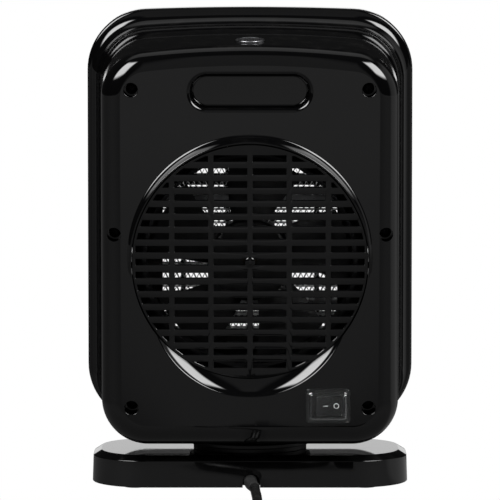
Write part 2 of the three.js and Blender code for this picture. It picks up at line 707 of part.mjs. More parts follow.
function rearCover() {
  const noseSteps = 5;
  const outside = [];
  for (let step = 0; step <= noseSteps; step += 1) {
    const angle = ((step / noseSteps) * Math.PI) / 2;
    const distance = REAR.bullNose * (1 - Math.cos(angle));
    const y = REAR.seam + REAR.bullNose * Math.sin(angle);
    outside.push([inset(rearSection, distance), y + (step === 0 ? GAP : 0)]);
  }
  const loft = (stations) => solidOf(ringLoft(stations.map(([section, y]) => bodyOutline(section, y))));
  const tongueOuter = inset(rearSection, WALL + GAP);
  const hollowInset = WALL + GAP + TONGUE.thickness;
  const tongue = loft([[tongueOuter, REAR.seam - TONGUE.length], [tongueOuter, REAR.seam + WALL]]);
  const hollow = loft([
    [inset(rearSection, hollowInset), REAR.seam - TONGUE.length - OVER],
    [inset(rearSection, hollowInset), facePlane - REAR.bullNose / 2],
    [inset(rearSection, REAR.bullNose), facePlane - WALL],
  ]);
  let cover = loft(outside).add(tongue).subtract(hollow);
  const room = loft([[tongueOuter, bossEnd], [tongueOuter, REAR.seam + OVER]]).add(loft(outside));
  for (const [x, z] of screwSpots) {
    const boss = solidOf(barrel(CASE_SCREW.boss, bossEnd, facePlane - WALL / 2, x, z, 16));
    cover = cover.add(boss.intersect(room));
  }
  cover = cover.add(solidOf(handlePocket()));
  cover = cover.add(intakeCollar());
  cover = cover.add(solidOf(scoopCone(WALL, facePlane - WALL / 2)));
  cover = cover.subtract(solidOf(scoopCone(0, facePlane + OVER)));
  cover = cover.subtract(solidOf(intakeDrum(INTAKE.radius + GAP, -40, 20)));
  cover = cover.subtract(solidOf(handleCavity())).subtract(solidOf(handleFlare()));
  for (const [x, z] of screwSpots) {
    cover = cover.subtract(solidOf(barrel(CASE_SCREW.bore, screwFloor, facePlane + OVER, x, z, 16)));
    cover = cover.subtract(solidOf(barrel(CASE_SCREW.shank + GAP, bossEnd - OVER, screwFloor + OVER, x, z, 10)));
  }
  const cutWidth = SWITCH.width / 2 + GAP;
  const cutHeight = SWITCH.height / 2 + GAP;
  const opening = box(
    [SWITCH.x - cutWidth, facePlane - 2 * WALL, SWITCH.z - cutHeight],
    [SWITCH.x + cutWidth, facePlane + OVER, SWITCH.z + cutHeight],
  );
  return cover.subtract(solidOf(opening));
}

/** The raised lip and the wall behind it that carry the intake disc. */
function intakeCollar() {
  const outer = INTAKE.radius + GAP + INTAKE.lip;
  const crest = intakeDrum(outer - INTAKE.lip / 3, -REAR.bullNose, 0);
  const wall = intakeDrum(outer, -REAR.bullNose, -INTAKE.lip / 3);
  const front = box([-RIM.half, facePlane - REAR.bullNose, 0], [RIM.half, RIM.half + facePlane, RIM.top]);
  const frontSlab = solidOf(front);
  const lowSlab = solidOf(box([-RIM.half, 0, 0], [RIM.half, facePlane - WALL / 2, RIM.top]));
  const lip = solidOf(crest).add(solidOf(wall)).intersect(frontSlab);
  const keepHigh = solidOf(box([-RIM.half, 0, levelHeight], [RIM.half, RIM.half + facePlane, RIM.top]));
  return lip.intersect(keepHigh).add(lip.intersect(lowSlab));
}

function handlePocket() {
  const length = HANDLE.length + 2 * HANDLE.wall;
  const height = HANDLE.height + 2 * HANDLE.wall;
  const floor = facePlane - HANDLE.depth - HANDLE.wall;
  return ringLoft([pillRing(length, height, floor), pillRing(length, height, facePlane - WALL / 2)]);
}

function handleCavity() {
  const floor = facePlane - HANDLE.depth;
  return ringLoft([
    pillRing(HANDLE.length, HANDLE.height, floor),
    pillRing(HANDLE.length, HANDLE.height, facePlane + OVER),
  ]);
}

function handleFlare() {
  const wide = 2 * HANDLE.flare;
  const rings = [0, 0.35, 0.75, 1].map((share) => {
    const spread = wide * (1 - Math.sqrt(1 - share * share));
    return pillRing(HANDLE.length + spread, HANDLE.height + spread, facePlane - HANDLE.flare * (1 - share));
  });
  return ringLoft([...rings, pillRing(HANDLE.length + wide, HANDLE.height + wide, facePlane + OVER)]);
}

/** The intake disc: rows of slots crossed by upright ribs, clipped by a circle. */
function rearGrille() {
  const front = -INTAKE.sunk - INTAKE.thickness;
  const disc = solidOf(barrel(INTAKE.radius, front, -INTAKE.sunk, 0, 0, 48));
  const clip = solidOf(barrel(INTAKE.slotRadius, front - OVER, OVER, 0, 0, 48));
  const half = (INTAKE.rows - 1) / 2;
  const columns = Math.ceil(INTAKE.slotRadius / INTAKE.ribPitch);
  let slots = null;
  for (let row = -half; row <= half; row += 1) {
    const z = row * INTAKE.pitch;
    for (let column = -columns; column < columns; column += 1) {
      const low = [column * INTAKE.ribPitch + INTAKE.rib / 2, front - OVER, z - INTAKE.slot / 2];
      const high = [(column + 1) * INTAKE.ribPitch - INTAKE.rib / 2, OVER, z + INTAKE.slot / 2];
      const slot = solidOf(box(low, high));
      slots = slots ? slots.add(slot) : slot;
    }
  }
  const boss = solidOf(barrel(INTAKE.boss, front, -INTAKE.sunk + 0.5, 0, 0, 20));
  const grille = disc.subtract(slots.intersect(clip)).add(boss);
  return onIntake(geometryOf(grille).translate(0, 0, INTAKE.levelDrop));
}

// ---------------------------------------------------------------- the front

function outletShape(distance) {
  const width = 2 * (OUTLET.half - distance);
  const height = OUTLET.top - OUTLET.bottom - 2 * distance;
  return roundedRectangle(width, height, OUTLET.corner - distance, 0, (OUTLET.top + OUTLET.bottom) / 2);
}

/** The front panel, with the openings for the outlet grille and the display. */
function frontFascia() {
  const back = fasciaFront + FASCIA.thickness + FASCIA.proud;
  const steps = 3;
  const stations = [[fasciaSection, back]];
  for (let step = 0; step <= steps; step += 1) {
    const angle = ((step / steps) * Math.PI) / 2;
    const distance = EDGE.fascia * (1 - Math.cos(angle));
    stations.push([inset(fasciaSection, distance), fasciaFront + EDGE.fascia * (1 - Math.sin(angle))]);
  }
  let panel = solidOf(ringLoft(stations.map(([section, y]) => bodyOutline(section, y))));
  panel = panel.subtract(solidOf(plateAlongY(outletShape(0), fasciaFront - OVER, back + OVER)));
  const window = box(
    [-DISPLAY.width / 2 - GAP, fasciaFront - OVER, DISPLAY.centre - DISPLAY.height / 2 - GAP],
    [DISPLAY.width / 2 + GAP, back + OVER, DISPLAY.centre + DISPLAY.height / 2 + GAP],
  );
  return panel.subtract(solidOf(window));
}

function outletGrille() {
  const front = fasciaFront + FASCIA.proud / 2;
  const back = front + 2 * FASCIA.proud;
  let grille = solidOf(plateAlongY(outletShape(GAP), front, back));
  const width = 2 * (OUTLET.half - OUTLET.rim);
  const height = OUTLET.top - OUTLET.bottom - 2 * OUTLET.rim;
  const rowPitch = height / OUTLET.rows;
  const columnPitch = width / OUTLET.columns;
  const inner = solidOf(plateAlongY(outletShape(OUTLET.rim), front - OVER, back + OVER));
  let slots = null;
  for (let row = 0; row < OUTLET.rows; row += 1) {
    for (let column = 0; column < OUTLET.columns; column += 1) {
      const x = -width / 2 + column * columnPitch;
      const z = OUTLET.bottom + OUTLET.rim + row * rowPitch;
      const low = [x + OUTLET.rib / 2, front - OVER, z + OUTLET.slat / 2];
      const slot = solidOf(box(low, [x + columnPitch - OUTLET.rib / 2, back + OVER, z + rowPitch - OUTLET.slat / 2]));
      slots = slots ? slots.add(slot) : slot;
    }
  }
  grille = grille.subtract(slots.intersect(inner));
  return grille;
}

function displayWindow() {
  const front = fasciaFront + GAP;
  return box(
    [-DISPLAY.width / 2, front, DISPLAY.centre - DISPLAY.height / 2],
    [DISPLAY.width / 2, front + DISPLAY.thickness, DISPLAY.centre + DISPLAY.height / 2],
  );
}

/** The display's circuit board with its row of digit blocks. */
function displayBoard() {
  const front = fasciaFront + FASCIA.thickness + FASCIA.proud + GAP;
  const low = [-DISPLAY.width / 2, front, DISPLAY.centre - DISPLAY.height / 2 - 1];
  const board = box(low, [DISPLAY.width / 2, front + DISPLAY.board, DISPLAY.centre + DISPLAY.height / 2 + 1]);
  const digits = box([-14, front - 1.4, DISPLAY.centre - 6], [14, front + DISPLAY.board / 2, DISPLAY.centre + 6]);
  return solidOf(board).add(solidOf(digits));
}

// ---------------------------------------------------------------- fan, motor and heating element

/** One blade: a helical strip that rises along Y as it runs round the hub. */
function fanBlade(start) {
  const sweep = THREE.MathUtils.degToRad(FAN.sweep);
  const spanSteps = 4;
  const chordSteps = 6;
  const rise = FAN.hubDepth - FAN.blade - 2;
  const rings = [];
  for (let i = 0; i <= spanSteps; i += 1) {
    const share = i / spanSteps;
    const radius = THREE.MathUtils.lerp(FAN.hub - FAN.skin / 2, fanRadius, share);
    const wide = sweep * (1 - 0.12 * share);
    const lead = start + 0.18 * share;
    const point = (u, side) => {
      const angle = lead + (u - 0.5) * wide;
      const lift = (u - 0.5) * rise * (1 - 0.35 * share);
      return new THREE.Vector3(radius * Math.cos(angle), lift + side * (FAN.blade / 2), radius * Math.sin(angle));
    };
    const over = Array.from({ length: chordSteps + 1 }, (_, step) => point(step / chordSteps, 1));
    const under = Array.from({ length: chordSteps + 1 }, (_, step) => point(1 - step / chordSteps, -1));
    rings.push([...over, ...under]);
  }
  return ringLoft(rings);
}

/** The impeller about its own axis, its hub cup open to the front. */
function fanImpeller() {
  const half = FAN.hubDepth / 2;
  const cup = new THREE.LatheGeometry([
    [FAN.shaft + GAP, half - FAN.skin],
    [FAN.hub - FAN.skin, half - FAN.skin],
    [FAN.hub - FAN.skin, -half],
    [FAN.hub, -half],
    [FAN.hub, half - 3],
    [FAN.hub - 3, half],
    [FAN.shaft + GAP, half],
    [FAN.shaft + GAP, half - FAN.skin],
  ].map(([radius, y]) => new THREE.Vector2(radius, y)), 40);
  let impeller = solidOf(cup);
  for (let blade = 0; blade < FAN.blades; blade += 1) {
    const start = Math.PI / 2 + (blade * 2 * Math.PI) / FAN.blades;
    impeller = impeller.add(solidOf(fanBlade(start)));
  }
  return impeller;
}

/** The round duct, its square mounting flange and the arms that hold the motor. */
function fanDuct() {
  const tube = barrel(ductInner + DUCT.wall, DUCT.front, DUCT.rear, 0, INTAKE.height, 40);
  const flangeBack = DUCT.front + DUCT.wall;
  const flange = box(
    [-ductFlange, DUCT.front, INTAKE.height - ductFlange],
    [ductFlange, flangeBack, INTAKE.height + ductFlange],
  );
  const bore = barrel(ductInner, DUCT.front - OVER, DUCT.rear + OVER, 0, INTAKE.height, 40);
  const ringOuter = MOTOR.radius + GAP + DUCT.motorRing;
  const ring = barrel(ringOuter, DUCT.front, DUCT.front + DUCT.arm, 0, INTAKE.height, 40);
  const seat = barrel(MOTOR.radius + GAP, DUCT.front - OVER, DUCT.rear, 0, INTAKE.height, 40);
  let duct = solidOf(tube).add(solidOf(flange)).subtract(solidOf(bore));
  const reach = ductInner + DUCT.wall / 2;
  const arms = [
    box([-reach, DUCT.front, INTAKE.height - 1.5], [reach, DUCT.front + DUCT.arm, INTAKE.height + 1.5]),
    box([-1.5, DUCT.front, INTAKE.height - reach], [1.5, DUCT.front + DUCT.arm, INTAKE.height + reach]),
  ];
  for (const arm of arms) duct = duct.add(solidOf(arm));
  return duct.add(solidOf(ring)).subtract(solidOf(seat));
}

function fanMotor() {
  const can = barrel(MOTOR.radius, MOTOR.front, MOTOR.rear, 0, INTAKE.height, 40);
  const nose = barrel(MOTOR.nose, MOTOR.rear - OVER, MOTOR.rear + MOTOR.noseLength, 0, INTAKE.height, 24);
  const bore = barrel(FAN.shaft + GAP, MOTOR.front + 4, MOTOR.rear + 2 * MOTOR.noseLength, 0, INTAKE.height, 16);
  return solidOf(can).add(solidOf(nose)).subtract(solidOf(bore));
}

const heaterFront = HEATER.rear - HEATER.depth;
const stackHeight = HEATER.bars * (HEATER.bar + 2 * GAP) + (HEATER.bars + 1) * HEATER.fin;

/** The heat-proof frame that holds the stack of fins and heating bars. */
function heaterFrame() {
  const half = HEATER.outer / 2;
  const openX = HEATER.openWidth / 2 + GAP;
  const openZ = stackHeight / 2 + GAP;
  const outer = box([-half, heaterFront - 2, INTAKE.height - half], [half, HEATER.rear + 2, INTAKE.height + half]);
  const hole = box(
    [-openX, heaterFront - 2 - OVER, INTAKE.height - openZ],
    [openX, HEATER.rear + 2 + OVER, INTAKE.height + openZ],
  );
  return solidOf(outer).subtract(solidOf(hole));
}

/** A folded fin seen along Y: a square-wave strip, offset to both sides of its centre line. */
function finShape() {
  const folds = 2 * Math.floor(HEATER.openWidth / HEATER.foldPitch / 2);
  const half = HEATER.sheet / 2;
  const heights = [half, HEATER.fin - half];
  const line = [];
  for (let fold = 0; fold <= folds; fold += 1) {
    const x = (fold - folds / 2) * HEATER.foldPitch;
    line.push(new THREE.Vector2(x, heights[fold % 2]), new THREE.Vector2(x, heights[(fold + 1) % 2]));
  }
  const leftNormal = (k) => {
    const step = line[k + 1].clone().sub(line[k]).normalize();
    return new THREE.Vector2(-step.y, step.x);
  };
  const offset = (sign) => line.map((point, k) => {
    const before = leftNormal(Math.max(k - 1, 0));
    const after = leftNormal(Math.min(k, line.length - 2));
    const shift = k === 0 || k === line.length - 1 ? after : before.add(after);
    return point.clone().addScaledVector(shift, sign * half);
  });
  return new THREE.Shape([...offset(1), ...offset(-1).reverse()]);
}

/** Stacks fins and heating bars in turn, from the bottom of the frame's opening. */
function addHeaterStack(group) {
  const bottom = INTAKE.height - stackHeight / 2;
  const pitch = HEATER.fin + HEATER.bar + 2 * GAP;
  for (let i = 0; i <= HEATER.bars; i += 1) {
    const fin = new THREE.ExtrudeGeometry(finShape(), { depth: HEATER.depth, bevelEnabled: false });
    const place = [0, HEATER.rear, bottom + i * pitch];
    addPiece(group, `heater_fin_${i + 1}`, fin.rotateX(Math.PI / 2), MATERIAL.aluminium, place);
  }
  for (let i = 0; i < HEATER.bars; i += 1) {
    const bar = new THREE.BoxGeometry(HEATER.openWidth, HEATER.depth, HEATER.bar);
    const place = [0, HEATER.rear - HEATER.depth / 2, bottom + i * pitch + HEATER.fin + GAP + HEATER.bar / 2];
    addPiece(group, `ptc_bar_${i + 1}`, bar, MATERIAL.aluminium, place);
  }
}

/** The resettable cut-out: a round can with a flange, on the front of the frame's top bar. */
function thermalCutout() {
  const front = heaterFront - 2 - GAP;
  const z = INTAKE.height + HEATER.outer / 2 - CUTOUT.radius;
  const can = barrel(CUTOUT.radius, front - CUTOUT.height, front, 0, z, 28);
  const flange = box([-1.5 * CUTOUT.radius, front - 1, z - 3], [1.5 * CUTOUT.radius, front, z + 3]);
  return solidOf(can).add(solidOf(flange));
}

/** The power board under the duct, with its relay and terminal block. */
function powerBoard() {
  const { width, height, thickness, y, bottom } = POWER_BOARD;
  const board = box([-width / 2, y, bottom], [width / 2, y + thickness, bottom + height]);
  const relay = box([-width / 2 + 6, y + thickness / 2, bottom + 6], [-width / 2 + 26, y + 17, bottom + 22]);
  const terminals = box([width / 2 - 34, y + thickness / 2, bottom + 6], [width / 2 - 6, y + 12, bottom + 16]);
  return [relay, terminals].reduce((solid, block) => solid.add(solidOf(block)), solidOf(board));
}

// ---------------------------------------------------------------- main switch and standby button

/** The switch's housing behind the cover: a cup with a bezel flange. */
function switchBody() {
  const back = facePlane - SWITCH.depth;
  const front = facePlane + GAP + SWITCH.flange;
  const cup = box(
    [-SWITCH.width / 2, back, -SWITCH.height / 2],
    [SWITCH.width / 2, front - SWITCH.flange / 2, SWITCH.height / 2],
  );
  const [halfX, halfZ] = switchFlange.map((size) => size / 2);
  const flange = box([-halfX, front - SWITCH.flange, -halfZ], [halfX, front, halfZ]);
  const well = box(
    [-SWITCH.width / 2 + SWITCH.wall, back + SWITCH.wall, -SWITCH.height / 2 + SWITCH.wall],
    [SWITCH.width / 2 - SWITCH.wall, front + OVER, SWITCH.height / 2 - SWITCH.wall],
  );
  let body = solidOf(cup).add(solidOf(flange)).subtract(solidOf(well));
  for (const x of [-5, 5]) {
    const tab = box([x - 2.4, back - 8, -0.4], [x + 2.4, back + SWITCH.wall / 2, 0.4]);
    body = body.add(solidOf(tab));
  }
  return body;
}

/** The rocker about its pivot, in the off position: a shallow V seen from above. */
function switchRocker() {
  const [half, halfHeight] = rockerSize.map((size) => size / 2);
  const rise = half * Math.tan(SWITCH.tilt);
  const depth = SWITCH.rockerDepth;
  const crown = SWITCH.rockerCrown;
  const shape = new THREE.Shape();
  shape.moveTo(-half, crown + rise);
  shape.lineTo(0, crown);
  shape.lineTo(half, crown + rise);
  shape.lineTo(half - 1.5, -1);
  shape.lineTo(2, -depth);
  shape.lineTo(-2, -depth);
  shape.lineTo(-half + 1.5, -1);
  shape.closePath();
  const rocker = plateAlongZ(shape, -halfHeight, halfHeight);
  return rocker.rotateZ(SWITCH.tilt);
}

/** The clear boot: a frame with a hollow pillow over the rocker. */
function switchBoot() {
  const low = facePlane + 2 * GAP + SWITCH.flange;
  const [frameX, frameZ] = bootFrame.map((size) => size / 2);
  const frame = box([-frameX, facePlane + GAP, -frameZ], [frameX, low + SWITCH.bootFrame, frameZ]);
  const [halfX, halfZ] = switchFlange.map((size) => size / 2);
  const top = low + SWITCH.bootPillow;
  const pillow = box([-halfX, low, -halfZ], [halfX, top, halfZ]);
  const wall = SWITCH.bootWall;
  const hollow = box([-halfX + wall, facePlane, -halfZ + wall], [halfX - wall, top - wall, halfZ - wall]);
  const seat = box([-halfX - GAP, facePlane, -halfZ - GAP], [halfX + GAP, low, halfZ + GAP]);
  return solidOf(frame).add(solidOf(pillow)).subtract(solidOf(hollow)).subtract(solidOf(seat));
}

/** The standby button about its own axis, flush face up. */
function standbyButton() {
  const { radius, height, proud, bevel } = BUTTON;
  return turned([
    [0, proud - height],
    [radius - 1.5, proud - height],
    [radius - 1.5, proud - height + 1],
    [radius, proud - height + 1],
    [radius, proud - bevel],
    [radius - bevel, proud],
    [0, proud],
  ], 40);
}

// ---------------------------------------------------------------- the cord and its plug

const rearWallFace = BASE.depth / 2;
const glandX = NOTCH.x + GLAND.aside;
const glandHeight = NOTCH.height - NOTCH.width / 2 + GLAND.above;

/** The tapered strain relief, bent down from the notch to the first point of the free cord. */
function cordGland() {
  const start = new THREE.Vector3(glandX, rearWallFace - GLAND.inside, glandHeight);
  const [endX, endY, endZ] = CORD_RUN[0];
  const bend = new THREE.CubicBezierCurve3(
    start,
    new THREE.Vector3(glandX, rearWallFace + 4, glandHeight),
    new THREE.Vector3(endX + 0.5, endY - 6, endZ + 0.4),
    new THREE.Vector3(endX, endY - GAP, endZ),
  );
  const steps = 8;
  const sides = 14;
  const rings = [];
  for (let i = 0; i <= steps; i += 1) {
    const radius = THREE.MathUtils.lerp(GLAND.root - OVER / 2, GLAND.tip, i / steps);
    rings.push(circleAround(bend.getPoint(i / steps), bend.getTangent(i / steps), radius, sides));
  }
  const collar = barrel(GLAND.root, rearWallFace - GLAND.inside, rearWallFace, glandX, glandHeight, 20);
  return solidOf(ringLoft(rings)).add(solidOf(collar));
}

/** A ring of points about a place on a path that stays nearly level. */
function circleAround(centre, tangent, radius, sides) {
  const across = new THREE.Vector3(0, 0, 1).cross(tangent).normalize();
  const above = tangent.clone().cross(across).normalize();
  return Array.from({ length: sides }, (_, i) => {
    const angle = (i / sides) * 2 * Math.PI;
    const arm = across.clone().multiplyScalar(radius * Math.cos(angle));
    return centre.clone().add(arm).addScaledVector(above, radius * Math.sin(angle));
  });
}

/** A plain tube along a list of points. */
function cordTube(points) {
  const path = new THREE.CatmullRomCurve3(points.map((point) => new THREE.Vector3(...point)), false, 'centripetal');
  const section = new THREE.Shape();
  for (let i = 0; i < CORD.sides; i += 1) {
    const angle = ((i + 0.5) / CORD.sides) * 2 * Math.PI;
    const radius = CORD.diameter / 2;
    const move = i ? 'lineTo' : 'moveTo';
    section[move](radius * Math.cos(angle), radius * Math.sin(angle));
  }
  const steps = Math.round(path.getLength() / CORD.step);
  return new THREE.ExtrudeGeometry(section, { steps, extrudePath: path, bevelEnabled: false });
}

function cordCoil() {
  const inner = COIL.radius - coilHalfWidth;
  return flatRing(COIL.radius + coilHalfWidth, inner, 0, coilHeight, 40).translate(COIL.x, COIL.y, 0);
}

/** A strap round the coil's section on the side away from the heater. */
function cordTie() {
  const low = COIL.y + COIL.radius - coilHalfWidth - GAP;
  const high = COIL.y + COIL.radius + coilHalfWidth + GAP;
  const halfWide = TIE.width / 2;
  const top = coilHeight + GAP;
  const outer = box(
    [COIL.x - halfWide, low - TIE.thickness - 1, 0],
    [COIL.x + halfWide, high + TIE.thickness, top + TIE.thickness],
  );
  const inner = box([COIL.x - halfWide - OVER, low - 1, -OVER], [COIL.x + halfWide + OVER, high, top]);
  return solidOf(outer).subtract(solidOf(inner));
}

/** The plug in its own frame: it lies flat, its blades along +Y and its neck at -Y. */
function plugBody() {
  const { width, height, length, corner } = PLUG;
  const ring = (shrink, y) => roundedCorners(width / 2 - shrink, height / 2 - shrink, corner - 0.6 * shrink, 4)
    .map(([x, z]) => new THREE.Vector3(x, y, z));
  const steps = [[5.2, 0], [2.4, 4], [0.7, 10], [0, 18], [0, length - 1], [1, length]];
  const body = solidOf(ringLoft(steps.map(([shrink, y]) => ring(shrink, y))));
  const neck = new THREE.CylinderGeometry(PLUG.neck - 1, PLUG.neck - 2, PLUG.neckLength + 2, 16);
  const bladeX = BLADE.spacing / 2;
  let plug = body.add(solidOf(neck.translate(0, 1 - PLUG.neckLength / 2, 0)));
  for (const x of [-bladeX, bladeX]) {
    const halfX = BLADE.thickness / 2 + GAP;
    const halfZ = BLADE.width / 2 + GAP;
    plug = plug.subtract(solidOf(box([x - halfX, length - 6, -halfZ], [x + halfX, length + OVER, halfZ])));
  }
  return plug;
}

function plugBlade() {
  const { width, thickness, length } = BLADE;
  return box([-thickness / 2, PLUG.length - 5.5, -width / 2], [thickness / 2, PLUG.length + length, width / 2]);
}

// ---------------------------------------------------------------- the assembly

addPiece(body, 'swivel_skirt', swivelSkirt(), MATERIAL.satin);
addPiece(body, 'swing_motor', stepperMotor(), MATERIAL.steel);
addPiece(body, 'housing', housing(), MATERIAL.gloss);
addPiece(body, 'rear_cover', rearCover(), MATERIAL.gloss);
addPiece(body, 'rear_grille', rearGrille(), MATERIAL.gloss);
const caseScrew = screw(CASE_SCREW).rotateX(Math.PI / 2);
screwSpots.forEach(([x, z], i) => {
  const place = [x, screwFloor + GAP + CASE_SCREW.headHeight, z];
  addPiece(body, `case_screw_${i + 1}`, caseScrew.clone(), MATERIAL.steel, place);
});
addPiece(body, 'front_fascia', frontFascia(), MATERIAL.gloss);
addPiece(body, 'outlet_grille', outletGrille(), MATERIAL.satin);
addPiece(body, 'display_window', displayWindow(), MATERIAL.clear);
addPiece(body, 'display_board', displayBoard(), MATERIAL.board);
addPiece(body, 'fan_duct', fanDuct(), MATERIAL.inner);
addPiece(body, 'fan_motor', fanMotor(), MATERIAL.steel);
addPiece(body, 'heater_frame', heaterFrame(), MATERIAL.heatproof);
addHeaterStack(body);
addPiece(body, 'thermal_cutout', thermalCutout(), MATERIAL.silver);
addPiece(body, 'power_board', powerBoard(), MATERIAL.board);
const switchPlace = [SWITCH.x, 0, SWITCH.z];
addPiece(body, 'switch_body', switchBody(), MATERIAL.satin, switchPlace);
addPiece(body, 'switch_boot', switchBoot(), MATERIAL.clear, switchPlace);

const pinion = new THREE.Group();
pinion.position.set(0, gearDistance, 0);
addPiece(pinion, 'swing_pinion', swingPinion(), MATERIAL.acetal);

const rotor = new THREE.Group();
rotor.position.set(0, FAN.rear - FAN.hubDepth / 2, INTAKE.height);
addPiece(rotor, 'fan_impeller', fanImpeller(), MATERIAL.satin);
const shaftFront = MOTOR.front + 6;
const shaftLength = FAN.rear + 4 - shaftFront;
const shaftMiddle = (FAN.rear + 4 + shaftFront) / 2 - rotor.position.y;
const shaft = new THREE.CylinderGeometry(FAN.shaft, FAN.shaft, shaftLength, 16);
addPiece(rotor, 'fan_shaft', shaft, MATERIAL.steel, [0, shaftMiddle, 0]);
const nutShape = new THREE.Shape(Array.from({ length: 6 }, (_, i) => {
  const angle = (i * Math.PI) / 3;
  return new THREE.Vector2(NUT.radius * Math.cos(angle), NUT.radius * Math.sin(angle));
}));
const nutHole = new THREE.Path();
nutHole.absarc(0, 0, FAN.shaft + GAP, 0, 2 * Math.PI, true);
nutShape.holes.push(nutHole);
const nut = plateAlongY(nutShape, 0, NUT.height);
addPiece(rotor, 'fan_nut', nut, MATERIAL.brass, [0, FAN.hubDepth / 2 + GAP, 0]);

const rocker = new THREE.Group();
rocker.position.set(SWITCH.x, facePlane + SWITCH.flange, SWITCH.z);
addPiece(rocker, 'switch_rocker', switchRocker(), MATERIAL.satin);

const button = new THREE.Group();
button.position.set(0, BUTTON.y, buttonZ);
button.rotation.x = -shelfSlope;
addPiece(button, 'standby_button', standbyButton(), MATERIAL.silver);

const lead = new THREE.Group();
addPiece(lead, 'cord_gland', cordGland(), MATERIAL.rubber);
addPiece(lead, 'power_cord', cordTube(CORD_RUN), MATERIAL.cord);
addPiece(lead, 'cord_coil', cordCoil(), MATERIAL.cord);
addPiece(lead, 'cord_tie', cordTie(), MATERIAL.satin);
addPiece(lead, 'cord_tail', cordTube(CORD_TAIL), MATERIAL.cord);
const plug = new THREE.Group();
const [tailX, tailY, tailZ] = CORD_TAIL.at(-1);
plug.position.set(tailX, tailY - PLUG.neckLength - 3 * GAP, tailZ);
plug.rotation.z = Math.PI;
addPiece(plug, 'plug_body', plugBody(), MATERIAL.rubber);
addPiece(plug, 'plug_blade_1', plugBlade(), MATERIAL.brass, [-BLADE.spacing / 2, 0, 0]);
addPiece(plug, 'plug_blade_2', plugBlade(), MATERIAL.brass, [BLADE.spacing / 2, 0, 0]);
lead.add(plug);

const heater = new THREE.Group();
heater.name = 'ceramic_space_heater';
body.add(pinion, rotor, rocker, button);
heater.add(base, body, lead);

export default heater;
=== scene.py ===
"""Looks of an oscillating ceramic heater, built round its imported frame.

Metres, +Z up, the origin on the ground under the middle of the base. The rear, with the intake,
the main switch and the cord, faces +Y. The warm air leaves towards -Y.
"""

import json
import logging
import math
from dataclasses import dataclass, fields
from enum import Enum
from typing import Any, Iterable, Sequence

import bpy
import numpy as np
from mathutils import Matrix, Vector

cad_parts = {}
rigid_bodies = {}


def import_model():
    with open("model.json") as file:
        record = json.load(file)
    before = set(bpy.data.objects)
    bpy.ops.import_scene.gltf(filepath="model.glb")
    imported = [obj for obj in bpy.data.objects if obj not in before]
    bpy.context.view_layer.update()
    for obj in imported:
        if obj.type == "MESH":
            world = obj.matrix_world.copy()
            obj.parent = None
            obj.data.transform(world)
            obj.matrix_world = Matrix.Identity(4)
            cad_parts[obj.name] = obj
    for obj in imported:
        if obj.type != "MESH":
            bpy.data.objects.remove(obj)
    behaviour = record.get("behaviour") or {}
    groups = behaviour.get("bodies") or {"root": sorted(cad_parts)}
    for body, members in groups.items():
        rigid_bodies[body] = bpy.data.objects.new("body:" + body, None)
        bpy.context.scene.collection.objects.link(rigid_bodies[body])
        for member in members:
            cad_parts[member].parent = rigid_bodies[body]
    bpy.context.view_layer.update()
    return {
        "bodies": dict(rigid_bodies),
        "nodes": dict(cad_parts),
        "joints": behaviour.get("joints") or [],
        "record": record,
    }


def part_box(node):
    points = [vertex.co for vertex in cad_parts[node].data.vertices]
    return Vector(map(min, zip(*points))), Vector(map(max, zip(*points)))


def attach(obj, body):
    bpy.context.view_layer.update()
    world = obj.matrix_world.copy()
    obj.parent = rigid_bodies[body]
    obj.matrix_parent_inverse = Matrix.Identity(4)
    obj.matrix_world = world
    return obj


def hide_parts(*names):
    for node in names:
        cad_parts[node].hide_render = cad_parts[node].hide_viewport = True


LOG = logging.getLogger("heater")
MM = 0.001
GAP = 0.3 * MM
Array = np.ndarray
Node = bpy.types.Node
Socket = bpy.types.NodeSocket
Piece = bpy.types.Object


# ---------------------------------------------------------------- surfaces


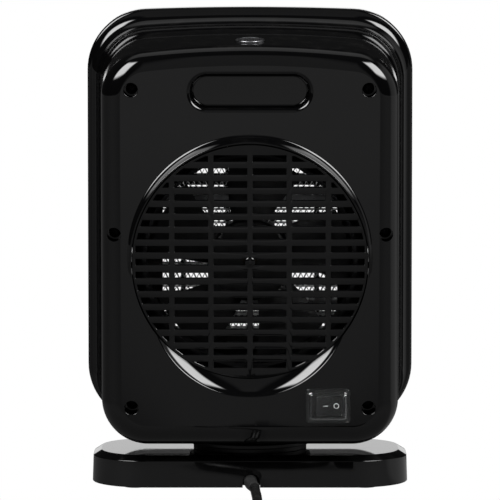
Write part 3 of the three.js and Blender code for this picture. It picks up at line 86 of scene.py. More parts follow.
class Skin:
    """Vertices and faces of one piece while it is made, from one or more closed surfaces."""

    def __init__(self) -> None:
        """Starts with nothing."""
        self.vertices: list[Array] = []
        self.faces: list[Array] = []
        self.count = 0

    def add(self, vertices: Array, faces: Sequence[Array]) -> "Skin":
        """Adds one closed surface, turned over if its faces point inwards.

        The enclosed volume is a sixth of the sum of a . (b x c) over the triangles, and it is
        negative when the faces point in.

        Args:
            vertices: Points, as rows.
            faces: Index arrays of shape (faces, corners), one for each number of corners.

        Returns:
            This skin.
        """
        volume = 0.0
        for group in faces:
            first = vertices[group[:, 0]]
            for corner in range(1, group.shape[1] - 1):
                second = vertices[group[:, corner]]
                third = vertices[group[:, corner + 1]]
                volume += float(np.einsum("ij,ij->", first, np.cross(second, third)))
        for group in faces:
            kept = group if volume > 0 else group[:, ::-1]
            self.faces.append(kept + self.count)
        self.vertices.append(vertices)
        self.count += len(vertices)
        return self

    def loft(self, rings: Array, closed: bool = False) -> "Skin":
        """Joins each ring of points to the next by four-cornered faces.

        Args:
            rings: Points of shape (rings, points, 3).
            closed: Whether the last ring joins the first, as in a tube wall. Otherwise flat
                faces close both ends.

        Returns:
            This skin.
        """
        rows, columns = rings.shape[:2]
        index = np.arange(rows * columns).reshape(rows, columns)
        ends = [index[:1, ::-1], index[-1:]]
        if closed:
            index = np.vstack([index, index[:1]])
        right = np.roll(index, -1, axis=1)
        corners = [index[:-1], right[:-1], right[1:], index[1:]]
        quads = np.stack(corners, axis=-1).reshape(-1, 4)
        return self.add(rings.reshape(-1, 3), [quads] if closed else [quads, *ends])

    def turned(self, profile: Array, centre: Sequence[float], axis: str, sides: int = 96) -> "Skin":
        """Turns a profile about an axis: the point at angle t is r cos t, r sin t across it.

        Args:
            profile: Rows of (radius, place along the axis). Where the first and last radius
                differ from zero and the rows meet, the wall is a closed tube.
            centre: A point on the axis, added to every point.
            axis: "y" or "z".
            sides: How many facets go round.

        Returns:
            This skin.
        """
        closed = bool(np.allclose(profile[0], profile[-1]))
        rows = profile[:-1] if closed else profile
        angle = np.arange(sides) * (2 * math.pi / sides)
        across = rows[:, 0, None] * np.cos(angle)
        along = np.repeat(rows[:, 1, None], sides, axis=1)
        up = rows[:, 0, None] * np.sin(angle)
        order = [across, along, up] if axis == "y" else [across, up, along]
        rings = np.stack(order, axis=-1) + np.asarray(centre, float)
        return self.loft(rings, closed)

    def mapped(self, place: Any) -> "Skin":
        """Moves every vertex by a function from points to points."""
        self.vertices = [place(points) for points in self.vertices]
        return self

    def piece(self, name: str) -> Piece:
        """Puts the surface into the scene as one piece, its mesh under the same name."""
        return linked(name, self.mesh(name))

    def mesh(self, name: str) -> bpy.types.Mesh:
        """Puts the vertices and faces into a new mesh."""
        vertices = np.concatenate(self.vertices)
        corners = np.concatenate([group.reshape(-1) for group in self.faces])
        sizes = np.concatenate([np.full(len(group), group.shape[1]) for group in self.faces])
        starts = np.concatenate([[0], np.cumsum(sizes)[:-1]])
        data = bpy.data.meshes.new(name)
        data.vertices.add(len(vertices))
        data.vertices.foreach_set("co", vertices.astype(np.float32).reshape(-1))
        data.loops.add(len(corners))
        data.loops.foreach_set("vertex_index", corners.astype(np.int32))
        data.polygons.add(len(sizes))
        data.polygons.foreach_set("loop_start", starts.astype(np.int32))
        data.update(calc_edges=True)
        data.validate()
        return data


def quarter(radius: float, steps: int) -> Array:
    """Rows (r (1 - cos t), r sin t) for t from 0 to a right angle: a quarter-round edge."""
    angle = np.linspace(0, math.pi / 2, steps + 1)
    return np.stack([radius * (1 - np.cos(angle)), radius * np.sin(angle)], axis=1)


def corner_ring(half_u: float, half_v: float, corner: float, steps: int = 12) -> Array:
    """A rounded rectangle about the origin: four arcs of one radius, joined by straight sides.

    Args:
        half_u: Half the width.
        half_v: Half the height.
        corner: The arcs' radius.
        steps: Facets in each arc.

    Returns:
        Rows of (u, v), anticlockwise.
    """
    angle = np.linspace(0, math.pi / 2, steps + 1)
    signs = ((1, 1), (-1, 1), (-1, -1), (1, -1))
    parts = []
    for turn, (sign_u, sign_v) in enumerate(signs):
        swept = angle + turn * math.pi / 2
        across = sign_u * (half_u - corner) + corner * np.cos(swept)
        up = sign_v * (half_v - corner) + corner * np.sin(swept)
        parts.append(np.stack([across, up], axis=1))
    return np.concatenate(parts)


def plate_rings(outline: Any, stations: Iterable[tuple[float, float]], axis: str) -> Array:
    """Rings of one flat outline, drawn in or let out by a distance at each station.

    Args:
        outline: A function from a distance inwards to rows of (u, v).
        stations: Pairs of the distance inwards and the place along the axis.
        axis: "y" for an outline in X and Z, or "z" for one in X and Y.

    Returns:
        Points of shape (stations, points, 3).
    """
    rings = []
    for distance, place in stations:
        flat = outline(distance)
        level = np.full(len(flat), place)
        order = [flat[:, 0], level, flat[:, 1]] if axis == "y" else [flat[:, 0], flat[:, 1], level]
        rings.append(np.stack(order, axis=1))
    return np.stack(rings)


def rounded_slab(half: Sequence[float], corner: float, edge: float, low: float, high: float,
                 centre: Sequence[float] = (0.0, 0.0), axis: str = "y") -> Array:
    """Rings of a rounded rectangle made a slab, with both of its rims rounded over.

    Args:
        half: Half the width and half the height.
        corner: Radius of the outline's corners.
        edge: Radius of the rims.
        low: Where the slab starts along the axis.
        high: Where it ends.
        centre: The middle of the outline.
        axis: "y" or "z".

    Returns:
        Points of shape (stations, points, 3).
    """
    rim = quarter(edge, 4)
    stations = [(drawn, low + edge - along) for drawn, along in rim[::-1]]
    stations += [(drawn, high - edge + along) for drawn, along in rim]

    def outline(distance: float) -> Array:
        ring = corner_ring(half[0] - distance, half[1] - distance, max(corner - distance, edge / 4), 6)
        return ring + np.asarray(centre, float)

    return plate_rings(outline, stations, axis)


def smooth_path(points: Array, spacing: float) -> Array:
    """A Catmull-Rom curve through points, cut into equal steps.

    Between two points a and b with neighbours p and q, the curve is the cubic that has the
    tangents (b - p) / 2 at a and (q - a) / 2 at b.

    Args:
        points: Rows to pass through.
        spacing: The wanted step.

    Returns:
        Rows along the curve, the ends included.
    """
    padded = np.vstack([2 * points[0] - points[1], points, 2 * points[-1] - points[-2]])
    share = np.linspace(0, 1, 24, endpoint=False)[:, None]
    before, start, end, after = padded[:-3, None], padded[1:-2, None], padded[2:-1, None], padded[3:, None]
    linear = end - before
    square = 2 * before - 5 * start + 4 * end - after
    cube = 3 * (start - end) + after - before
    curve = start + 0.5 * share * (linear + share * (square + share * cube))
    fine = np.vstack([curve.reshape(-1, 3), points[-1]])
    return even_steps(fine, spacing)


def even_steps(line: Array, spacing: float) -> Array:
    """The same line of points, resampled at equal distances along it."""
    along = np.concatenate([[0], np.cumsum(np.linalg.norm(np.diff(line, axis=0), axis=1))])
    wanted = np.linspace(0, along[-1], max(int(round(along[-1] / spacing)), 2) + 1)
    return np.stack([np.interp(wanted, along, line[:, axis]) for axis in range(3)], axis=1)


def line_length(line: Array) -> float:
    """The length of a line of points."""
    return float(np.linalg.norm(np.diff(line, axis=0), axis=1).sum())


def tube_rings(line: Array, radius: Array, sides: int) -> Array:
    """Circles square to a line that stays nearly level: centre + r (a cos t + b sin t).

    Args:
        line: Rows of centres.
        radius: One radius for each row.
        sides: Points in each circle.

    Returns:
        Points of shape (rows, sides, 3).
    """
    along = np.gradient(line, axis=0)
    along /= np.linalg.norm(along, axis=1, keepdims=True)
    across = np.cross(np.array([0.0, 0.0, 1.0]), along)
    across /= np.linalg.norm(across, axis=1, keepdims=True)
    above = np.cross(along, across)
    angle = np.arange(sides) * (2 * math.pi / sides)
    arm = across[:, None] * np.cos(angle)[None, :, None] + above[:, None] * np.sin(angle)[None, :, None]
    return line[:, None] + radius[:, None, None] * arm


# ---------------------------------------------------------------- pieces


class Join(Enum):
    """How a tool changes a piece."""

    ADD = "UNION"
    CUT = "DIFFERENCE"
    KEEP = "INTERSECT"


def linked(name: str, data: bpy.types.Mesh) -> Piece:
    """Puts a mesh into the scene under a name."""
    piece = bpy.data.objects.new(name, data)
    bpy.context.scene.collection.objects.link(piece)
    return piece


def worked(piece: Piece, tool: Skin, how: Join) -> Piece:
    """Joins or cuts a piece with a tool at once, and removes the tool.

    Args:
        piece: The piece that changes.
        tool: The closed surfaces it changes by.
        how: Which change to make.

    Returns:
        The piece.
    """
    cutter = tool.piece("tool")
    change = piece.modifiers.new("change", "BOOLEAN")
    change.object = cutter
    change.operation = how.value
    change.solver = "EXACT"
    change.use_self = True
    view = bpy.context.evaluated_depsgraph_get()
    fresh = bpy.data.meshes.new_from_object(piece.evaluated_get(view))
    stale = [piece.data, cutter.data]
    piece.modifiers.clear()
    piece.data = fresh
    bpy.data.objects.remove(cutter)
    for data in stale:
        bpy.data.meshes.remove(data)
    return piece


def eased(piece: Piece, angle: float = 32.0) -> Piece:
    """Shades a piece smooth, with sharp edges past an angle in degrees and flat faces kept flat."""
    data = piece.data
    data.polygons.foreach_set("use_smooth", np.ones(len(data.polygons), bool))
    data.set_sharp_from_angle(angle=math.radians(angle))
    even = piece.modifiers.new("even", "WEIGHTED_NORMAL")
    even.keep_sharp = True
    even.weight = 90
    return piece


@dataclass(frozen=True)
class Section:
    """One upright section through the body, with round corners and an arched top."""

    half: float
    bottom: float
    top: float
    corner: float
    crown: float

    def inset(self, distance: float) -> "Section":
        """The section moved inwards all round by a distance."""
        least = 2 * MM
        return Section(self.half - distance, self.bottom + distance, self.top - distance,
                       max(self.corner - distance, least), self.crown - distance)

    def blend(self, other: "Section", share: float) -> "Section":
        """A section between this one, at 0, and another, at 1."""
        pairs = [(getattr(self, part.name), getattr(other, part.name)) for part in fields(self)]
        return Section(*[near + (far - near) * share for near, far in pairs])

    def ring(self, y: float) -> Array:
        """The section's outline at a depth.

        Each half is a bottom corner arc, a top corner arc that touches the side and the arch, and
        half of the arch, whose radius is the crown.

        Args:
            y: The depth.

        Returns:
            Rows of points.
        """
        corner_x = self.half - self.corner
        arch_centre = self.top - self.crown
        corner_z = arch_centre + math.sqrt((self.crown - self.corner) ** 2 - corner_x**2)
        touch = math.atan2(corner_z - arch_centre, corner_x)
        low = np.linspace(-math.pi / 2, 0, 19)
        high = np.linspace(0, touch, 19)
        arch = np.linspace(touch, math.pi / 2, 13)[1:]
        x = np.concatenate([corner_x + self.corner * np.cos(low),
                            corner_x + self.corner * np.cos(high),
                            self.crown * np.cos(arch)])
        z = np.concatenate([self.bottom + self.corner * (1 + np.sin(low)),
                            corner_z + self.corner * np.sin(high),
                            arch_centre + self.crown * np.sin(arch)])
        x[-1] = 0.0
        x = np.concatenate([x, -x[-2::-1]])
        z = np.concatenate([z, z[-2::-1]])
        return np.stack([x, np.full(len(x), y), z], axis=1)


def section_rings(stations: Iterable[tuple[Section, float]]) -> Array:
    """Outlines of sections at their depths, as rings for a loft."""
    return np.stack([section.ring(y) for section, y in stations])


# ---------------------------------------------------------------- node trees


class Graph:
    """Short calls for adding nodes to a tree and wiring them."""

    def __init__(self, tree: bpy.types.NodeTree) -> None:
        """Works on one tree."""
        self.tree = tree

    def node(self, kind: str, **settings: Any) -> Node:
        """Adds a node of a kind, with some of its settings."""
        made = self.tree.nodes.new(kind)
        for name, value in settings.items():
            setattr(made, name, value)
        return made

    def feed(self, source: Any, target: Socket) -> None:
        """Wires a socket to another, or sets it to a plain value."""
        if isinstance(source, bpy.types.NodeSocket):
            self.tree.links.new(source, target)
        else:
            target.default_value = source

    def math(self, operation: str, *values: Any, clamp: bool = False) -> Socket:
        """The result of a math node on sockets or numbers."""
        made = self.node("ShaderNodeMath", operation=operation, use_clamp=clamp)
        for slot, value in enumerate(values):
            self.feed(value, made.inputs[slot])
        return made.outputs[0]

    def ranged(self, value: Socket, low: float, high: float, to_low: Any = 0.0, to_high: Any = 1.0) -> Socket:
        """A value mapped smoothly from one range to another, and held inside it."""
        made = self.node("ShaderNodeMapRange", interpolation_type="SMOOTHSTEP", clamp=True)
        for slot, number in enumerate((value, low, high, to_low, to_high)):
            self.feed(number, made.inputs[slot])
        return made.outputs[0]

    def noise(self, vector: Socket, scale: Any, detail: float = 3.0, rough: float = 0.5) -> Socket:
        """A soft random pattern, from 0 to 1."""
        made = self.node("ShaderNodeTexNoise")
        self.feed(vector, made.inputs["Vector"])
        self.feed(scale, made.inputs["Scale"])
        made.inputs["Detail"].default_value = detail
        made.inputs["Roughness"].default_value = rough
        return made.outputs["Fac"]

    def stretched(self, vector: Socket, scale: Sequence[float]) -> Socket:
        """A vector scaled along each axis."""
        made = self.node("ShaderNodeMapping")
        self.feed(vector, made.inputs["Vector"])
        made.inputs["Scale"].default_value = scale
        return made.outputs[0]

    def place(self) -> Socket:
        """The point on the object, in metres."""
        return self.node("ShaderNodeTexCoord").outputs["Object"]

    def tinted(self, mask: Any, first: Sequence[float], second: Sequence[float]) -> Socket:
        """A colour between two, chosen by a mask."""
        made = self.node("ShaderNodeMix", data_type="RGBA")
        self.feed(mask, made.inputs["Factor"])
        made.inputs[6].default_value = (*first, 1.0)
        made.inputs[7].default_value = (*second, 1.0)
        return made.outputs[2]

    def bump(self, height: Socket, distance: float, strength: float = 1.0) -> Socket:
        """A normal bent by a height."""
        made = self.node("ShaderNodeBump")
        made.inputs["Strength"].default_value = strength
        made.inputs["Distance"].default_value = distance
        self.feed(height, made.inputs["Height"])
        return made.outputs["Normal"]


class Effect(Enum):
    """Surface effects that more than one finish shares, each a node group."""

    HANDLING = "handling"
    DUST = "dust"
    GRAIN = "grain"
    STREAKS = "streaks"


def effect_group(effect: Effect) -> bpy.types.NodeTree:
    """Builds an effect's node group the first time it is asked for.

    HANDLING gives a roughness that soft smudges and hair-fine wipe marks raise, and the slow waves
    of a moulding. DUST gives a mask of specks that lie on what faces up. GRAIN gives the height of
    a spark-eroded mould. STREAKS gives a mask of fine lines along one axis.

    Args:
        effect: Which effect.

    Returns:
        The node group.
    """
    found = bpy.data.node_groups.get(effect.value)
    if found:
        return found
    tree = bpy.data.node_groups.new(effect.value, "ShaderNodeTree")
    inputs = {
        Effect.HANDLING: {"Roughness": 0.1, "Spread": 0.1},
        Effect.DUST: {"Amount": 0.2},
        Effect.GRAIN: {"Scale": 2500.0},
        Effect.STREAKS: {"Scale": 900.0},
    }[effect]
    outputs = {
        Effect.HANDLING: ("Roughness", "Height"),
        Effect.DUST: ("Mask",),
        Effect.GRAIN: ("Height",),
        Effect.STREAKS: ("Mask",),
    }[effect]
    for name, value in inputs.items():
        tree.interface.new_socket(name, in_out="INPUT", socket_type="NodeSocketFloat").default_value = value
    for name in outputs:
        tree.interface.new_socket(name, in_out="OUTPUT", socket_type="NodeSocketFloat")
    graph = Graph(tree)
    given = graph.node("NodeGroupInput").outputs
    result = graph.node("NodeGroupOutput").inputs
    point = graph.place()
    if effect is Effect.HANDLING:
        smudge = graph.ranged(graph.noise(point, 55.0, 5.0, 0.6), 0.5, 0.78)
        wiped = graph.stretched(point, (420.0, 420.0, 45.0))
        hair = graph.ranged(graph.noise(wiped, 1.0, 2.0, 0.7), 0.62, 0.8)
        marks = graph.math("ADD", smudge, graph.math("MULTIPLY", hair, 0.35))
        raised = graph.math("MULTIPLY", marks, given["Spread"])
        graph.feed(graph.math("ADD", raised, given["Roughness"], clamp=True), result["Roughness"])
        graph.feed(graph.noise(point, 24.0, 1.5, 0.4), result["Height"])
    elif effect is Effect.DUST:
        facing = graph.node("ShaderNodeSeparateXYZ")
        graph.feed(graph.node("ShaderNodeNewGeometry").outputs["Normal"], facing.inputs[0])
        lying = graph.ranged(facing.outputs["Z"], 0.55, 0.98)
        specks = graph.ranged(graph.noise(point, 1300.0, 2.0, 0.6), 0.68, 0.82)
        film = graph.ranged(graph.noise(point, 90.0, 4.0, 0.6), 0.45, 0.9, 0.0, 0.35)
        both = graph.math("ADD", specks, film, clamp=True)
        settled = graph.math("MULTIPLY", both, lying)
        graph.feed(graph.math("MULTIPLY", settled, given["Amount"]), result["Mask"])
    elif effect is Effect.GRAIN:
        coarse = graph.noise(point, given["Scale"], 2.0, 0.6)
        fine = graph.noise(point, graph.math("MULTIPLY", given["Scale"], 2.7), 1.0, 0.5)
        graph.feed(graph.math("ADD", coarse, graph.math("MULTIPLY", fine, 0.4)), result["Height"])
    else:
        drawn = graph.stretched(point, (1.0, 0.04, 1.0))
        graph.feed(graph.noise(drawn, given["Scale"], 4.0, 0.7), result["Mask"])
    return tree


@dataclass(frozen=True)
class Finish:
    """A material: its name, its record slot and its shader's plain values."""

    name: str
    slot: str
    color: tuple[float, float, float] = (0.02, 0.02, 0.02)
    roughness: float = 0.4
    metallic: float = 0.0
    ior: float = 1.5

    def material(self) -> bpy.types.Material:
        """Builds the material the first time it is asked for."""
        found = bpy.data.materials.get(self.name)
        if found:
            return found
        made = bpy.data.materials.new(self.name)
        made.use_nodes = True
        graph = Graph(made.node_tree)
        shader = made.node_tree.nodes["Principled BSDF"]
        shader.inputs["Base Color"].default_value = (*self.color, 1.0)
        shader.inputs["Roughness"].default_value = self.roughness
        shader.inputs["Metallic"].default_value = self.metallic
        shader.inputs["IOR"].default_value = self.ior
        self.detail(graph, shader)
        return made

    def detail(self, graph: Graph, shader: Node) -> None:
        """Adds what changes over the surface; each kind of finish has its own."""

    def effect(self, graph: Graph, effect: Effect, **values: float) -> Node:
        """Places a shared effect in the material, with this finish's own values."""
        made = graph.node("ShaderNodeGroup", node_tree=effect_group(effect))
        for name, value in values.items():
            made.inputs[name].default_value = value
        return made

    def on(self, piece: Piece) -> Piece:
        """Dresses a piece in this finish."""
        piece.data.materials.clear()
        piece.data.materials.append(self.material())
        return piece


@dataclass(frozen=True)
class Gloss(Finish):
    """Polished moulded plastic with faint smudges, dust and the slow waves of its mould."""

    spread: float = 0.05
    dust: float = 0.05
    wave: float = 0.02 * MM

    def detail(self, graph: Graph, shader: Node) -> None:
        """Wires the smudges into the roughness, the dust into the colour, the waves into the normal."""
        handling = self.effect(graph, Effect.HANDLING, Roughness=self.roughness, Spread=self.spread)
        graph.feed(handling.outputs["Roughness"], shader.inputs["Roughness"])
        dust = self.effect(graph, Effect.DUST, Amount=self.dust)
        grey = (0.32, 0.31, 0.29)
        graph.feed(graph.tinted(dust.outputs["Mask"], self.color, grey), shader.inputs["Base Color"])
        graph.feed(graph.bump(handling.outputs["Height"], self.wave), shader.inputs["Normal"])


@dataclass(frozen=True)
class Grained(Finish):
    """Satin plastic or rubber from a textured mould, with some dust and uneven shine."""

    scale: float = 2600.0
    depth: float = 0.03 * MM
    dust: float = 0.12

    def detail(self, graph: Graph, shader: Node) -> None:
        """Wires the grain into the normal and slow patches into the roughness."""
        grain = self.effect(graph, Effect.GRAIN, Scale=self.scale)
        graph.feed(graph.bump(grain.outputs["Height"], self.depth), shader.inputs["Normal"])
        handling = self.effect(graph, Effect.HANDLING, Roughness=self.roughness, Spread=0.1)
        graph.feed(handling.outputs["Roughness"], shader.inputs["Roughness"])
        dust = self.effect(graph, Effect.DUST, Amount=self.dust)
        pale = tuple(min(1.0, channel + 0.2) for channel in self.color)
        graph.feed(graph.tinted(dust.outputs["Mask"], self.color, pale), shader.inputs["Base Color"])


@dataclass(frozen=True)
class Worked(Finish):
    """Metal with drawing or brushing lines and small changes of tone."""

    scale: float = 900.0
    contrast: float = 0.25

    def detail(self, graph: Graph, shader: Node) -> None:
        """Wires the streaks into the colour, the roughness and a shallow bump."""
        streaks = self.effect(graph, Effect.STREAKS, Scale=self.scale).outputs["Mask"]
        dark = tuple(channel * (1 - self.contrast) for channel in self.color)
        graph.feed(graph.tinted(streaks, dark, self.color), shader.inputs["Base Color"])
        low, high = self.roughness * 0.7, min(self.roughness * 1.5, 1.0)
        graph.feed(graph.ranged(streaks, 0.3, 0.7, low, high), shader.inputs["Roughness"])
        graph.feed(graph.bump(streaks, 0.01 * MM), shader.inputs["Normal"])


@dataclass(frozen=True)
class Clear(Finish):
    """See-through plastic, from clear soft vinyl to smoked acrylic."""

    transmission: float = 1.0
    cloud: float = 0.08

    def detail(self, graph: Graph, shader: Node) -> None:
        """Lets light through, a little clouded in patches."""
        shader.inputs["Transmission Weight"].default_value = self.transmission
        handling = self.effect(graph, Effect.HANDLING, Roughness=self.roughness, Spread=self.cloud)
        graph.feed(handling.outputs["Roughness"], shader.inputs["Roughness"])
        graph.feed(graph.bump(handling.outputs["Height"], 0.03 * MM), shader.inputs["Normal"])


@dataclass(frozen=True)
class Board(Finish):
    """Solder mask over copper tracks."""

    def detail(self, graph: Graph, shader: Node) -> None:
        """Draws tracks as the level lines of a stretched pattern."""
        pattern = graph.noise(graph.stretched(graph.place(), (160.0, 160.0, 60.0)), 1.0, 1.0)
        tracks = graph.ranged(graph.math("PINGPONG", pattern, 0.04), 0.018, 0.024)
        pale = tuple(min(1.0, channel * 2.2) for channel in self.color)
        graph.feed(graph.tinted(tracks, self.color, pale), shader.inputs["Base Color"])
        graph.feed(graph.bump(tracks, 0.04 * MM), shader.inputs["Normal"])


@dataclass(frozen=True)
class Sheath(Finish):
    """The cord's soft sheath: drawn lines along its length, from the piece's own UV map."""

    def detail(self, graph: Graph, shader: Node) -> None:
        """Wires faint lines along the cord and patches of handling."""
        chart = graph.node("ShaderNodeUVMap", uv_map="along")
        lines = graph.noise(graph.stretched(chart.outputs[0], (0.4, 14.0, 1.0)), 1.0, 1.0)
        graph.feed(graph.bump(lines, 0.006 * MM), shader.inputs["Normal"])
        handling = self.effect(graph, Effect.HANDLING, Roughness=self.roughness, Spread=0.12)
        graph.feed(handling.outputs["Roughness"], shader.inputs["Roughness"])
        dust = self.effect(graph, Effect.DUST, Amount=0.1)
        tint = graph.tinted(dust.outputs["Mask"], self.color, (0.2, 0.2, 0.19))
        graph.feed(tint, shader.inputs["Base Color"])


GLOSS_BLACK = Gloss("piano black moulding", "gloss_black", (0.0012, 0.0012, 0.0013), 0.04)
BASE_BLACK = Gloss("piano black base", "gloss_black", (0.0012, 0.0012, 0.0013), 0.035, spread=0.03)
SATIN_BLACK = Grained("satin black moulding", "satin_black", (0.006, 0.006, 0.0065), 0.42)
SWITCH_BLACK = Grained("switch black", "satin_black", (0.006, 0.006, 0.006), 0.3,
                       scale=4200.0, depth=0.01 * MM)
FAN_BLACK = Grained("fan black", "fan_black", (0.006, 0.006, 0.0065), 0.4, scale=1800.0)
DUCT_GREY = Grained("duct grey", "duct_grey", (0.02, 0.02, 0.022), 0.6, scale=1500.0)
FRAME_BROWN = Grained("heat-proof frame", "heatproof_frame", (0.03, 0.027, 0.024), 0.7, scale=1200.0)
FOOT_RUBBER = Grained("foot rubber", "rubber", (0.012, 0.012, 0.012), 0.85, scale=1500.0, depth=0.05 * MM)
GLAND_RUBBER = Grained("gland rubber", "rubber", (0.011, 0.011, 0.011), 0.5, scale=3000.0)
PLUG_BLACK = Grained("plug sheath", "cord_black", (0.011, 0.011, 0.011), 0.45, scale=3000.0)
CORD_BLACK = Sheath("cord sheath", "cord_black", (0.008, 0.008, 0.008), 0.26)
BOOT_CLEAR = Clear("clear boot", "clear_boot", (0.93, 0.95, 0.95), 0.06, ior=1.42)
WINDOW_SMOKED = Clear("smoked window", "smoked_window", (0.03, 0.03, 0.032), 0.04,
                      transmission=0.75, cloud=0.03)
ACETAL = Grained("natural acetal", "acetal", (0.62, 0.6, 0.54), 0.4, scale=2200.0, depth=0.01 * MM)
GREEN_BOARD = Board("green board", "circuit_board", (0.008, 0.045, 0.016), 0.3)
SILVER = Worked("silver button", "button_silver", (0.3, 0.3, 0.31), 0.28, 1.0, scale=2600.0, contrast=0.4)
BLACK_SCREW = Worked("black screw", "screw_steel", (0.03, 0.03, 0.032), 0.45, 1.0, scale=1500.0)
MOTOR_STEEL = Worked("zinc-plated can", "motor_steel", (0.34, 0.34, 0.33), 0.36, 1.0)
FIN_METAL = Worked("fin strip", "fin_aluminium", (0.5, 0.51, 0.52), 0.35, 1.0, scale=700.0)
BRASS = Worked("plain brass", "brass", (0.55, 0.4, 0.17), 0.25, 1.0, scale=1200.0)
DARK_BRASS = Worked("darkened brass", "brass", (0.03, 0.025, 0.018), 0.4, 1.0, scale=1200.0)
PRINT_WHITE = Grained("white print", "satin_black", (0.7, 0.7, 0.7), 0.5,
                      scale=5000.0, depth=0.004 * MM, dust=0.0)


def settle(piece: Piece, body: str, finish: Finish, *nodes: str) -> Piece:
    """Dresses a finished piece, fixes it to its body, and hides the nodes that it replaces.

    Args:
        piece: The piece, in its place.
        body: The body that it moves with.
        finish: Its material.
        nodes: The nodes that it replaces.

    Returns:
        The piece.
    """
    finish.on(piece)
    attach(piece, body)
    if nodes:
        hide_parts(*nodes)
    LOG.info("%s: %d faces on %s", piece.name, len(piece.data.polygons), body)
    return piece


# ---------------------------------------------------------------- the heater body


@dataclass
class Body:
    """Sections and planes that the housing and the rear cover share."""

    corner: float = 27 * MM
    rim_corner: float = 36.5 * MM
    crown: float = 545 * MM
    rim_crown: float = 1684 * MM
    bull_nose: float = 12 * MM
    wall: float = 2.4 * MM
    rim_back: float = -36 * MM
    rim_back_edge: float = 2.2 * MM
    rim_front_edge: float = 5.2 * MM
    rim_lift: float = 1 * MM

    def __post_init__(self) -> None:
        """Takes the outer sizes from the frame."""
        low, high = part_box("housing")
        cover_low, cover_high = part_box("rear_cover")
        self.seam = high.y
        self.front = low.y
        self.face = self.seam + self.bull_nose
        self.rear = Section(cover_high.x, cover_low.z, cover_high.z, self.corner, self.crown)
        self.rim = Section(high.x, low.z + self.rim_lift, high.z, self.rim_corner, self.rim_crown)


@dataclass
class Housing:
    """The middle moulding: side walls, the cove and the wide front rim."""

    body: Body
    cove_depth: float = 16 * MM
    wall_flare: float = 3.4 * MM
    low_rise: float = -3.2 * MM
    shelf_rise: float = 8.6 * MM
    seam_edge: float = 0.8 * MM

    def outside(self) -> list[tuple[Section, float]]:
        """Stations from the rear seam to the front edge: the cove is a quarter ellipse."""
        body = self.body
        rim_back = body.rim.inset(body.rim_back_edge)
        cove = Section(body.rear.half + self.wall_flare, rim_back.bottom + self.low_rise,
                       body.rear.top + self.shelf_rise, body.corner + self.wall_flare, 1.6 * body.crown)
        start = body.rim_back + self.cove_depth
        stations = [(body.rear.inset(drawn), body.seam - self.seam_edge + along)
                    for drawn, along in quarter(self.seam_edge, 5)[::-1]]
        for share in (0.02, 0.25, 0.5, 0.75, 0.95):
            stations.append((body.rear.blend(cove, share), body.seam + (start - body.seam) * share))
        for angle in np.linspace(0, math.pi / 2, 25):
            mixed = cove.blend(rim_back, 1 - math.cos(angle))
            stations.append((mixed, start - self.cove_depth * math.sin(angle)))
        edge = body.rim_back_edge
        stations += [(body.rim.inset(edge - along), body.rim_back - drawn)
                     for drawn, along in quarter(edge, 8)[1:]]
        edge = body.rim_front_edge
        stations += [(body.rim.inset(drawn), body.front + edge - along) for drawn, along in quarter(edge, 12)]
        return stations

    def inside(self) -> list[tuple[Section, float]]:
        """Stations of the inner wall, from the front edge back to the seam."""
        body = self.body
        inner = body.rim.inset(body.wall)
        lip = body.rim.inset(body.rim_front_edge + body.wall)
        back = body.rim_back - body.rim_back_edge
        cove = Section(body.rear.half + self.wall_flare, body.rim.bottom + body.rim_back_edge + self.low_rise,
                       body.rear.top + self.shelf_rise, body.corner + self.wall_flare, 1.6 * body.crown)
        return [
            (lip, body.front), (lip, body.front + body.wall),
            (inner, body.front + body.rim_front_edge + body.wall), (inner, back - body.wall),
            (cove.inset(body.wall), back), (cove.inset(body.wall), body.rim_back + self.cove_depth),
            (body.rear.inset(body.wall), body.seam),
        ]

    def build(self) -> None:
        """Makes the shell, with holes for the pivot post, the swing shaft and the button."""
        rings = section_rings([*self.outside(), *self.inside()])
        shell = Skin().loft(rings, closed=True).piece("housing_shell")
        pinion_low, pinion_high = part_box("swing_pinion")
        middle = (pinion_low.y + pinion_high.y) / 2
        holes = Skin()
        floor = self.body.rear.bottom + 2 * self.body.wall
        holes.turned(np.array([[10.3 * MM, 0.0], [10.3 * MM, floor]]), (0, 0, 0), "z", 64)
        holes.turned(np.array([[3.1 * MM, 0.0], [3.1 * MM, floor]]), (0, middle, 0), "z", 32)
        worked(shell, holes, Join.CUT)
        button = StandbyButton()
        worked(shell, button.opening(), Join.CUT)
        settle(eased(shell), "heater_body", GLOSS_BLACK, "housing")
        button.build()


